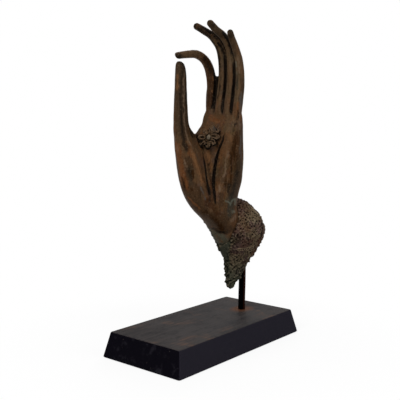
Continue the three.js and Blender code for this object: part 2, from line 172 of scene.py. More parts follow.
def ebonised_wood():
    """Black stain, blue-black and scuffed on the sides, rubbed along the grain on top, with rust round the
    rod's foot. Painted shade makes the end that looks along -Y nearly black."""
    material, tree, shader = new_material("ebonised_wood", 0.5, specular=0.005)
    place = place_in(tree)
    grain = noise(tree, place_in(tree, scale=(420, 14, 420)), 1.0, 4, 0.6, 0.3)
    cloud = noise(tree, place, 24, 3, 0.55)
    patch = noise(tree, place_in(tree, centre=(0.03, 0.02, 0)), 38, 4, 0.6, 0.6)
    mottle = noise(tree, place_in(tree, scale=(1, 0.5, 1)), 120, 5, 0.65, 0.4)
    flecks = ramp(tree, noise(tree, place, 900, 1, 0.5), 0.79, 0.82)
    from_rod = distance_from(tree, place_in(tree, centre=rod_foot, scale=(1, 0.8, 1)))
    near_rod = ramp(tree, from_rod, 0.016, 0.004)
    worn = product(tree, ramp(tree, patch, 0.52, 0.7), ramp(tree, grain, 0.35, 0.6))
    side = layered(
        tree,
        stain_blue_black,
        # painted shade: the face that looks along -Y turns nearly black
        (end_shade_black, ramp(tree, facing(tree, "Y"), -0.45, -0.8)),
        (stain_scuffed, product(tree, ramp(tree, mottle, 0.52, 0.64, 0.6), ramp(tree, patch, 0.4, 0.6))),
    )
    top = layered(
        tree,
        stain_grey,
        (rubbed_brown, ramp(tree, grain, 0.3, 0.72)),
        (rubbed_brown, ramp(tree, cloud, 0.35, 0.65, 0.6)),
        (stain_grey, ramp(tree, mottle, 0.5, 0.66, 0.55)),
        (worn_red_brown, product(tree, worn, 0.6)),
        (rust_stain, product(tree, near_rod, ramp(tree, cloud, 0.3, 0.6, 0.9, 0.3))),
    )
    up = ramp(tree, facing(tree, "Z"), 0.75, 0.97)
    whole = layered(tree, side, (top, up), (bare_fleck, product(tree, flecks, 0.5)))
    tree.links.new(ramp(tree, grain, 0.2, 0.8, 0.62, 0.42), shader.inputs["Roughness"])
    surfaced(tree, shader, whole, grain, 0.25, 0.0003)
    return material


def give(obj, material):
    """Gives the object one material."""
    obj.data.materials.clear()
    obj.data.materials.append(material)


give(nodes["base_block"], ebonised_wood())


# Felt: a sheet of black wool felt glued into the underside, standing a little proud so that the
# block doesn't scratch what it stands on.
felt_black = (0.012, 0.012, 0.013, 1)
felt_lint = (0.05, 0.05, 0.052, 1)


def wool_felt():
    """Matted fibres in two blacks."""
    material, tree, shader = new_material("wool_felt", 0.95, specular=0.1)
    fibre = noise(tree, place_in(tree), 1600, 3, 0.7, 1.5)
    colour = mixed(tree, ramp(tree, fibre, 0.45, 0.75), felt_black, felt_lint)
    surfaced(tree, shader, colour, fibre, 0.5, 0.0002)
    return material


give(nodes["base_felt"], wool_felt())


# Mounting rod: 8 mm steel rod, browned. It goes down through the block to a nut, stands bowed a little
# above it, and ends in the clay in the tenon's hollow.
rod_bow = rod_high.x - rod_low.x - 2 * rod_radius
browned_steel = (0.0004, 0.0003, 0.0004, 1)
rod_rust_and_lit_side = (0.015, 0.0042, 0.0022, 1)
rod_rings = 60
rod_sides = 40


def grid_faces(rings, sides):
    """Quads of a grid of rings x sides points, closed round each ring."""
    ring, side = np.meshgrid(np.arange(rings - 1), np.arange(sides), indexing="ij")
    here, following = ring * sides + side, ring * sides + (side + 1) % sides
    return np.stack([here, following, following + sides, here + sides], -1).reshape(-1, 4)


def closed_skin(rings):
    """Points, quads and end fans of the closed tube through an array of rings (ring, side, xyz)."""
    count, sides = rings.shape[:2]
    points = np.concatenate([rings.reshape(-1, 3), rings[:1].mean(1), rings[-1:].mean(1)])
    side = np.arange(sides)
    following = (side + 1) % sides
    start = (count - 1) * sides
    first = np.stack([np.full(sides, count * sides), following, side], 1)
    last = np.stack([np.full(sides, count * sides + 1), start + side, start + following], 1)
    return points, grid_faces(count, sides), np.concatenate([first, last])


def new_object(name, points, *face_sets):
    """Smooth-shaded mesh object from points in metres and arrays of faces, its faces turned outwards."""
    mesh = bpy.data.meshes.new(name)
    mesh.from_pydata(points.tolist(), [], [face for faces in face_sets for face in faces.tolist()])
    thirds = [faces[:, [0, k, k + 1]] for faces in face_sets for k in range(1, faces.shape[1] - 1)]
    a, b, c = (points[np.concatenate(thirds)[:, k]] for k in range(3))
    if np.einsum("ij,ij->i", a, np.cross(b, c)).sum() < 0:
        mesh.flip_normals()
    mesh.polygons.foreach_set("use_smooth", np.ones(len(mesh.polygons), bool))
    mesh.update()
    obj = bpy.data.objects.new(name, mesh)
    bpy.context.scene.collection.objects.link(obj)
    return obj


def bowed_rod():
    """Circle carried up a line that is straight in the block and bows by sine squared above it."""
    height = np.linspace(rod_low.z, rod_high.z, rod_rings)
    free = np.clip((height - rod_foot.z) / (rod_high.z - rod_foot.z), 0, 1)
    bow = rod_bow * np.sin(np.pi * free) ** 2
    middle = np.stack([rod_foot.x + bow, np.full(rod_rings, rod_foot.y), height], 1)
    turn = np.linspace(0, 2 * np.pi, rod_sides, endpoint=False)
    ring = rod_radius * np.stack([np.cos(turn), np.sin(turn), 0 * turn], 1)
    return new_object("rod", *closed_skin(middle[:, None] + ring[None]))


def browned_rod_steel():
    """Black oxide, rubbed through to rust in streaks, with a painted reddish light along the side that looks
    along +X.
    """
    material, tree, shader = new_material("browned_rod_steel", 0.5, specular=0.01)
    streak = noise(tree, place_in(tree, scale=(300, 300, 60)), 1.0, 4, 0.6, 0.4)
    # painted light: the side that looks along +X turns reddish as if lit from the right
    side = ramp(tree, facing(tree, "X"), 0.8, 1.0)
    rubbed = arithmetic(tree, "ADD", side, ramp(tree, streak, 0.55, 0.8, 0.3))
    colour = mixed(tree, ramp(tree, rubbed, 0.1, 0.9), browned_steel, rod_rust_and_lit_side)
    surfaced(tree, shader, colour, streak, 0.3, 0.0002)
    return material


rod = bowed_rod()
give(rod, browned_rod_steel())
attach(rod, "root")
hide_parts("mounting_rod")


# Washer and nut: zinc-plated steel, hidden in the counterbore. They draw the rod down on the block.
zinc_bright = (0.5, 0.51, 0.53, 1)
zinc_dull = (0.3, 0.31, 0.33, 1)


def zinc_plate():
    """Dull zinc with faint clouding."""
    material, tree, shader = new_material("zinc_plate", 0.38, metallic=1.0)
    cloud = noise(tree, place_in(tree), 700, 3, 0.6)
    tree.links.new(mixed(tree, cloud, zinc_dull, zinc_bright), shader.inputs["Base Color"])
    return material


for name in ("rod_washer", "rod_nut"):
    give(nodes[name], zinc_plate())


# Hand: one bronze casting with thumb and index finger nearly meeting. Palm, thumb, web and fingers
# are drawn apart as closed skins, grown together, eased where they meet, and then chased with
# creases and ridges as the founder's tools left them. Millimetres from the rod's foot.
palm_levels = [
    # height, middle x, middle y, half width, front, behind, hollow, lean
    [242, 0, -33, 17, 0.5, 0.5, 0, 0],
    [239, 0, -33.4, 18.5, 2, 2, 0, 0],
    [235, 0, -33.8, 19.5, 2.1, 3.4, 0, 0],
    [231, 0, -33.8, 20.6, 2.8, 4.8, 0, 3.5],
    [226, 0, -33.2, 22, 4.4, 6.2, 0, 7.5],
    [220, 0, -32.6, 22.5, 7.3, 7.4, 0, 10],
    [213, 0, -32.3, 22.8, 10.8, 8.6, 0.4, 12.5],
    [205, 0, -32.3, 22.3, 14.2, 9.8, 1, 21],
    [195, 0, -32.3, 22.3, 16.6, 10.5, 2, 28],
    [180, 0, -32, 22.3, 18, 11.5, 3, 24],
    [165, 0, -32, 21.5, 19, 11.5, 4, 12],
    [150, -0.5, -32, 19.8, 24, 12, 4, 4],
    [135, -1.8, -34.4, 17.4, 27, 13.5, 2, 0],
    [121, -2.8, -37.2, 17.8, 28, 16.5, 0, 0],
    [113, -2.5, -36, 18.3, 25, 18, 0, 0],
    [105, -2.5, -33.5, 17.5, 20, 16, 0, 0],
    [97, -2.5, -32.5, 15, 14, 14.5, 0, 0],
    [89, -2, -32, 12, 11, 12, 0, 0],
    [83, -2, -31.5, 8.5, 8, 8, 0, 0],
    [78, -2, -31, 3, 3, 3, 0, 0],
]
palm_hollow_width = 0.38
palm_squareness = 2.6
thumb_levels = [
    # height, middle x, middle y, half width, front, behind, hollow, lean
    [279.2, -22.9, -82, 1.4, 1.4, 1.4, 0, 0],
    [278.2, -22.7, -81.9, 3, 3, 3, 0, 0],
    [275, -22.1, -81.5, 4.8, 4.8, 4.8, 0, 0],
    [266, -21.8, -81, 5.9, 5.9, 5.9, 0, 0],
    [249, -21.8, -81, 6.6, 6.6, 6.6, 0, 0],
    [233, -21.9, -81, 7.2, 7.2, 7.2, 0, 0],
    [218, -22, -80.5, 8, 8, 8, 0, 0],
    [209, -22, -79.5, 8.8, 8.8, 9.4, 0, 0],
    [201, -21.8, -78.3, 9.2, 9.2, 14, 0, 0],
    [193, -21.3, -76.3, 10.4, 10.4, 24, 0, 0],
    [185, -21, -73.8, 11.8, 11.8, 28, 0, 0],
    [175, -20.5, -70, 13.6, 13.6, 28, 0, 0],
    [165, -20, -67, 14.8, 14.8, 28, 0, 0],
    [153, -18, -66, 15, 14.6, 28, 0, 0],
    [141, -14.5, -65.5, 14.5, 14, 28, 0, 0],
    [131, -12, -62.5, 14, 13.6, 26, 0, 0],
    [121, -9.6, -56.2, 13.2, 13, 22, 0, 0],
    [113, -8, -49, 12, 12, 18, 0, 0],
    [105, -6.5, -42, 10.5, 10.5, 12, 0, 0],
    [97, -5.5, -37, 8.4, 8.4, 8, 0, 0],
    [89, -5, -33.5, 6.5, 6.5, 6, 0, 0],
]
thumb_squareness = 2.1
finger_pitch = 12.5
fingers = {
    # lane in pitches, drift of the tip, bow sideways, plumpness, slant of the tip, (y, z) from root to tip
    "index": (-1.5, -4, 0, 1.06, -0.55, [
        (-33, 212), (-35, 228), (-33.5, 244), (-32, 258), (-36, 274), (-43.8, 283.4), (-56, 288),
        (-70, 287), (-86.6, 284.2),
    ]),
    "middle": (-0.5, 0, 0.8, 1.04, 0, [
        (-33, 212), (-34.5, 229), (-31, 248), (-28.9, 266), (-30.5, 284), (-35.9, 297), (-47.7, 306.3),
        (-60, 310.8), (-76.5, 315.2),
    ]),
    "ring": (0.5, 0, 1.6, 1.05, 0, [
        (-33, 212), (-34.5, 229), (-31, 252), (-30.9, 272), (-34, 293), (-44.4, 305), (-58.4, 312),
        (-69.2, 319.2),
    ]),
    "little": (1.5, 0, 1.6, 0.95, 0, [
        (-33, 212), (-34.5, 229), (-32.5, 256), (-34.5, 278), (-40, 291.3), (-46.6, 303), (-50, 311.6),
    ]),
}
finger_root_gather = (0.8, 0.93)
finger_root_half = 5.35
finger_tip_half = 3.3
finger_tip_round = 3.0
finger_slant_reach = 5
finger_squareness = 2.2
finger_root_height = 214
finger_webs = [
    # the bronze left between two fingers behind their fronts
    [(-11.5, -32, 216), (-12.3, -32.5, 228), (-12.3, -30.5, 244), (-12.6, -29, 256), (-13, -29.5, 266)],
    [(0, -32, 216), (0.4, -32.5, 229), (1, -29, 250), (1.2, -28, 270), (1.1, -31, 288), (0.8, -38, 300),
      (0.4, -47, 306.5), (0, -54, 309.5)],
    [(11.8, -32, 216), (12.8, -32.5, 229), (13.9, -30, 252), (14.2, -30.8, 274), (13.6, -36, 289)],
]
finger_web_half = 2.3
web_line = [(-21, -77, 207), (-21, -67, 198.5), (-20, -57, 194.5), (-17, -48, 197), (-15, -40, 205)]
web_half = 7.0
web_middle = (-18, -58, 196)
web_reach = 22
hand_grain = 0.00078


def through_rows(rows, between):
    """Catmull-Rom spline through rows of numbers, with `between` even steps from each row to the next."""
    rows = np.asarray(rows, float)
    along = np.linspace(0, len(rows) - 1, (len(rows) - 1) * between + 1)
    start = np.minimum(along.astype(int), len(rows) - 2)
    t = (along - start)[:, None]
    padded = np.concatenate([rows[:1], rows, rows[-1:]])
    a, b, c, d = (padded[start + k] for k in range(4))
    return 0.5 * (2 * b + (c - a) * t + (2 * a - 5 * b + 4 * c - d) * t**2 + (3 * b - a - 3 * c + d) * t**3)


def squared_circle(sides, squareness):
    """Oval between circle and square: cosine and sine of each angle, raised to 2 / squareness."""
    turn = np.linspace(0, 2 * np.pi, sides, endpoint=False)
    across, along = np.cos(turn), np.sin(turn)
    power = 2 / squareness
    return np.sign(across) * np.abs(across) ** power, np.sign(along) * np.abs(along) ** power


def bell(distance, width):
    """Bell curve of a distance: 1 at 0, and e to the power of minus the square of distance over width."""
    return np.exp(-((distance / width) ** 2))


def level_rings(levels, squareness, sides=120, between=8):
    """Rings at each height: an oval with its own depth in front and behind, a hollow pressed into the front
    as a bell curve, and the thumb's side brought forward by the square of its distance."""
    z, x, y, half, front, behind, hollow, lean = through_rows(levels, between).T[:, :, None]
    across, along = (value[None] for value in squared_circle(sides, squareness))
    depth = np.where(along < 0, front, behind)
    dish = hollow * bell(across, palm_hollow_width) * np.maximum(-along, 0)
    forward = lean * np.maximum(-across, 0) ** 2
    return np.stack([x + across * half, y + along * depth + dish - forward, z + 0 * across], -1)


def swept_rings(line, half, squareness=2.0, sides=56, steps=110):
    """An oval carried along a line of points, its width kept level with X. half gives its half
    size from the share of the length, 0 to 1, and the length."""
    dense = through_rows(line, 24)
    length = np.concatenate([[0], np.cumsum(np.linalg.norm(np.diff(dense, axis=0), axis=1))])
    t = np.sin(np.linspace(0, np.pi / 2, steps))
    middle = np.stack([np.interp(t * length[-1], length, dense[:, axis]) for axis in range(3)], 1)
    forward = np.gradient(middle, axis=0)
    forward /= np.linalg.norm(forward, axis=1, keepdims=True)
    width = np.array([1.0, 0, 0]) - forward * forward[:, :1]
    width /= np.linalg.norm(width, axis=1, keepdims=True)
    depth = np.cross(width, forward)
    across, along = (value[None, :, None] for value in squared_circle(sides, squareness))
    size = half(t, length[-1])[:, None, None]
    return middle[:, None] + size * (across * width[:, None] + along * depth[:, None])


def evenly(half):
    """Half size that stays the same along a swept line."""
    return lambda t, length: np.full(len(t), half)


def finger_rings(lane, drift, bow, plumpness, slant, line):
    """A tapering finger whose last few millimetres round off as a quarter circle, its end cut aslant."""
    share = np.linspace(0, 1, len(line))
    gather = np.ones(len(line))
    gather[:2] = finger_root_gather
    x = lane * finger_pitch * gather + drift * share**2 + bow * np.sin(np.pi * share)
    points = np.column_stack([x, np.array(line)])

    def half(t, length):
        """Half size that narrows with the square of the share, and closes at the tip as a quarter circle."""
        past = np.clip(1 - (1 - t) * length / finger_tip_round, 0, 0.999)
        full = finger_root_half + (finger_tip_half - finger_root_half) * t**2
        return plumpness * full * np.sqrt(1 - past**2) ** (0.6 if slant else 1)

    rings = swept_rings(points, half, finger_squareness)
    height = rings[..., 2] - rings[-1:, :, 2].mean()
    from_end = np.linalg.norm(rings.mean(1) - rings[-1].mean(0), axis=1)[:, None]
    rings[..., 1] += slant * height * np.exp(-from_end / finger_slant_reach)
    return rings


def in_place(points):
    """Millimetres from the rod's foot to metres in the object's frame."""
    return np.asarray(points, float) / 1000 + np.array(rod_foot)


def from_foot(points):
    """Metres in the object's frame to millimetres from the rod's foot."""
    return (points - np.array(rod_foot)) * 1000


def joined_skins(skins):
    """Several closed skins as one list of points and two of faces."""
    starts = np.cumsum([0] + [len(points) for points, _, _ in skins[:-1]])
    points = np.concatenate([points for points, _, _ in skins])
    quads, fans = (np.concatenate([skin[k] + start for start, skin in zip(starts, skins)]) for k in (1, 2))
    return points, quads, fans


def grown_together(obj, grain):
    """The object's skins remade as one closed skin of even squares, grain metres wide."""
    remesh = obj.modifiers.new("grown_together", "REMESH")
    remesh.mode = "VOXEL"
    remesh.voxel_size = grain
    remesh.use_smooth_shade = True
    bpy.context.view_layer.update()
    whole = bpy.data.meshes.new_from_object(obj.evaluated_get(bpy.context.evaluated_depsgraph_get()))
    obj.modifiers.clear()
    obj.data = whole
    return obj


def read_vectors(items, field):
    """One vector for each of a mesh's items, as an array."""
    values = np.empty(len(items) * 3, np.float32)
    items.foreach_get(field, values)
    return values.reshape(-1, 3).astype(float)


def points_of(mesh):
    """The mesh's points as an array."""
    return read_vectors(mesh.vertices, "co")


def normals_of(mesh):
    """The mesh's smooth normals as an array."""
    return read_vectors(mesh.vertex_normals, "vector")


def move_points(mesh, points):
    """Puts the mesh's points where the array says."""
    mesh.vertices.foreach_set("co", points.astype(np.float32).ravel())
    mesh.update()


def push_out(mesh, by):
    """Moves each point along its normal, by millimetres."""
    move_points(mesh, points_of(mesh) + normals_of(mesh) * by[:, None] / 1000)


def eased(mesh, values, rounds, share=0.5):
    """Values on the mesh's points, moved towards the mean of their neighbours, over and over."""
    edges = np.empty(len(mesh.edges) * 2, np.int32)
    mesh.edges.foreach_get("vertices", edges)
    edges = edges.reshape(-1, 2)
    ends = np.concatenate([edges, edges[:, ::-1]])
    count = np.maximum(np.bincount(ends[:, 0], minlength=len(values)), 1)[:, None]
    share = np.broadcast_to(np.reshape(share, (-1, 1)), (len(values), 1))
    for _ in range(rounds):
        sums = [np.bincount(ends[:, 0], column[ends[:, 1]], len(values)) for column in values.T]
        values = values + share * (np.stack(sums, 1) / count - values)
    return values


def smooth_step(value, low, high):
    """0 at low, 1 at high, eased between."""
    t = np.clip((value - low) / (high - low), 0, 1)
    return t * t * (3 - 2 * t)


def beside(points, line):
    """Distance of each point from a line, and how far along it the nearest place lies, from 0 to 1: the
    smallest of the distances from its straight pieces."""
    line = through_rows(line, 4)
    start, step = line[:-1], np.diff(line, axis=0)
    reach = points[:, None] - start[None]
    share = np.clip(np.einsum("pij,ij->pi", reach, step) / (step**2).sum(1), 0, 1)
    gap = np.linalg.norm(reach - share[..., None] * step, axis=2)
    nearest = gap.argmin(1)
    row = np.arange(len(points))
    return gap[row, nearest], (nearest + share[row, nearest]) / len(step)


def stroke(points, line, width, fade):
    """Strength of a tool stroke along a line: a bell curve across it, faded out over its two ends."""
    gap, along = beside(points, line)
    return bell(gap, width) * smooth_step(along, 0, fade) * smooth_step(1 - along, 0, fade)


def spot(points, centre, radius):
    """Strength of a round patch: a bell curve of the distance from its centre."""
    return bell(np.linalg.norm(points - np.array(centre, float), axis=1), radius)


def lattice_hash(cells, seed):
    """A random number from 0 to 1 for each whole-number cell."""
    mixed_up = cells @ np.array([374761393, 668265263, 2147483647]) + seed * 1274126177
    mixed_up = ((mixed_up ^ (mixed_up >> 13)) * 1274126177) & 0xFFFFFFFF
    return ((mixed_up ^ (mixed_up >> 16)) & 0xFFFFFF) / 0xFFFFFF


def lumps(points, size, seed):
    """Soft random swelling from -1 to 1: random numbers on a cubic lattice, eased between its corners."""
    cell = np.floor(points / size).astype(np.int64)
    t = points / size - cell
    t = t * t * (3 - 2 * t)
    total = np.zeros(len(points))
    for corner in np.ndindex(2, 2, 2):
        weight = np.where(corner, t, 1 - t).prod(1)
        total += weight * lattice_hash(cell + np.array(corner), seed)
    return 2 * total - 1


def pits(points, size, seed):
    """Distance, in cells, to the nearest of the points scattered one to a cell."""
    cell = np.floor(points / size).astype(np.int64)
    nearest = np.full(len(points), 9.0)
    for corner in np.ndindex(3, 3, 3):
        other = cell + np.array(corner) - 1
        scattered = other + np.stack([lattice_hash(other, seed + k) for k in range(3)], 1)
        nearest = np.minimum(nearest, np.linalg.norm(points / size - scattered, axis=1))
    return nearest


def shaken(points, most, size, seed):
    """Points shifted at random by up to most, alike over places that are size apart."""
    return points + most * np.stack([lumps(points, size, seed + k) for k in range(3)], 1)


thenar_valley = [
    (-9.5, -52, 178), (-8.2, -51.1, 167.5), (-6.6, -50.6, 161), (-2.7, -55.2, 147.3), (2.5, -60.7, 131),
]
thenar_valley_half = 7.5
hand_strokes = [
    # line, half width, depth (a ridge where negative), share of the line that fades at each end
    ([(11.8, -45.9, 204.8), (8.8, -46.7, 201.2), (7.8, -47.7, 194.8), (4.3, -47.7, 188.3),
      (1.2, -47.2, 180.7), (-1.4, -47.3, 171.9), (-2.1, -49.1, 160), (0.2, -52.4, 149.4),
      (6.3, -58.6, 137.2), (8.8, -59.9, 128.9), (11, -58.4, 122.5)], 1.1, 1.9, 0.2),
    ([(12.5, -46.6, 200), (9.6, -47.6, 190), (5.6, -47.5, 180), (3, -48.4, 167),
      (4, -52, 152)], 2.2, -0.6, 0.4),
    ([(-10.9, -59, 185), (-9.3, -57.8, 178.6), (-7.1, -57.6, 170), (-4.8, -58.1, 159.3),
      (-2.5, -58.7, 148.6), (0.3, -60.2, 138), (3.5, -62.3, 128.7)], 1.8, 2.4, 0.35),
    ([(-17, -82.5, 273.2), (-16.6, -84.2, 263.8), (-17.3, -86.1, 243.1), (-16.3, -86, 223.3),
      (-15.5, -85.4, 207.6), (-13.7, -83.6, 193), (-10.9, -80.5, 183.5)], 1.7, 1.1, 0.2),
    ([(-11.4, -80.8, 188), (-10.7, -80.1, 182.4), (-10, -79, 174)], 1.3, 0.7, 0.4),
    ([(-16.2, -81.2, 269), (-15.4, -83, 246.2), (-14.7, -83.8, 217), (-13.4, -81.9, 204.5),
      (-11.1, -78.3, 192.9), (-9.2, -76, 184), (-7.8, -74.2, 177), (-5.1, -69.9, 162),
      (-3.4, -67.9, 153.4), (-1.1, -66.5, 144.9)], 1.8, -0.7, 0.25),
    ([(21.2, -39.8, 198), (20.9, -41.2, 185.2), (19.8, -43, 173.5), (18.2, -45.5, 158.5),
      (17.4, -46.8, 150)], 2.6, 1.1, 0.4),
    ([(22.3, -35.9, 223.6), (22.3, -35.2, 201.6), (22.4, -34.5, 185.5), (22.1, -34.3, 169.3),
      (20.2, -33.4, 153)], 1.8, -0.6, 0.3),
    ([(21, -38.8, 225.6), (20.4, -38, 219.3), (20.6, -38.7, 212.9)], 1.0, 0.9, 0.4),
    ([(-15.3, -82.6, 175), (-13.9, -80.9, 168.6), (-13.3, -80.1, 162.2)], 2.0, -0.8, 0.4),
    ([(-12, -80.5, 170), (-11, -79.6, 160), (-11.5, -79.4, 150)], 1.8, 0.8, 0.4),
]
heel_dent = (5.1, -46, 98)
heel_dent_radius = 8.0
heel_dent_depth = 0.9


rosette_middle = np.array([-5.2, -54.2, 199.4])
rosette_turn = np.radians(26)
rosette_reach = 13.8
rosette_across = np.array([np.cos(rosette_turn), np.sin(rosette_turn), 0])
rosette_out = np.array([np.sin(rosette_turn), -np.cos(rosette_turn), 0])
rosette_bed_depth = 0.8
rosette_bed_reach = (rosette_reach - 2.5, rosette_reach + 3.5)
rosette_bed_front = 16


def bedded(points):
    """Points in front of the rosette's plane sink to just behind it, less and less beyond its edge."""
    reach = points - rosette_middle
    out = reach @ rosette_out
    aside = np.linalg.norm(reach - out[:, None] * rosette_out, axis=1)
    share = (1 - smooth_step(aside, *rosette_bed_reach)) * (out < rosette_bed_front)
    return points - (np.maximum(out + rosette_bed_depth, 0) * share)[:, None] * rosette_out


def chased(mesh):
    """Strokes and dents pressed in along the normals, in millimetres. Returns how deep each point went."""
    points = from_foot(points_of(mesh))
    depth = sum(deep * stroke(points, line, width, fade) for line, width, deep, fade in hand_strokes)
    depth += heel_dent_depth * spot(points, heel_dent, heel_dent_radius)
    push_out(mesh, -depth)
    return depth


def hollowness(mesh, rounds):
    """Millimetres by which a point lies below the mean of its surroundings. Ridges come out negative."""
    points = points_of(mesh)
    lifted = eased(mesh, points, rounds) - points
    return 1000 * np.einsum("ij,ij->i", lifted, normals_of(mesh))


def crowding(points, normals):
    """How close other surfaces stand in front of each point, from 0 to 1: points are counted in millimetre
    cells, spread to the neighbouring cells, and read a little way out along the normal."""
    margin, full = 10, 0.8
    low = points.min(0) - margin
    size = np.ceil(points.max(0) - low + margin).astype(int)

    def cells(places):
        """The number of the cell that each place lies in."""
        return np.ravel_multi_index(tuple(np.clip(places - low, 0, size - 1).astype(int).T), tuple(size))

    count = np.bincount(cells(points), minlength=size.prod()).reshape(size).astype(float)
    for axis in (0, 1, 2, 0, 1, 2):
        count = (np.roll(count, 1, axis) + count + np.roll(count, -1, axis)) / 3
    count = count.ravel()
    return np.clip(sum(count[cells(points + normals * out)] for out in (2.6, 3.4, 4.4)) / full, 0, 1)


def paint(mesh, name, values):
    """Stores one number for each point, for the material to read."""
    layer = mesh.attributes.new(name, "FLOAT", "POINT")
    layer.data.foreach_set("value", values.astype(np.float32))


def painted(tree, name):
    """Reads a painted number in a material."""
    layer = tree.nodes.new("ShaderNodeAttribute")
    layer.attribute_name = name
    return layer.outputs["Fac"]


bronze_brown = (0.056, 0.031, 0.015, 1)
bronze_warm = (0.068, 0.031, 0.013, 1)
bronze_dark_and_shade = (0.0022, 0.0014, 0.0010, 1)
bronze_rubbed_and_highlight = (0.110, 0.070, 0.040, 1)
bronze_orange = (0.095, 0.038, 0.013, 1)
bronze_plum = (0.036, 0.025, 0.025, 1)
bronze_olive = (0.034, 0.024, 0.009, 1)
bronze_bright = (0.130, 0.098, 0.066, 1)
crease_red_shade = (0.0170, 0.0060, 0.0030, 1)
bud_highlight = (0.135, 0.112, 0.082, 1)
bronze_glint = (1, 0.8, 0.62, 1)
crust_lichen = (0.060, 0.062, 0.045, 1)


def on_rosette(*places):
    """Places across and up from the rosette's middle, in its plane."""
    return [tuple(rosette_middle + across * rosette_across + np.array([0, 0, up])) for across, up in places]


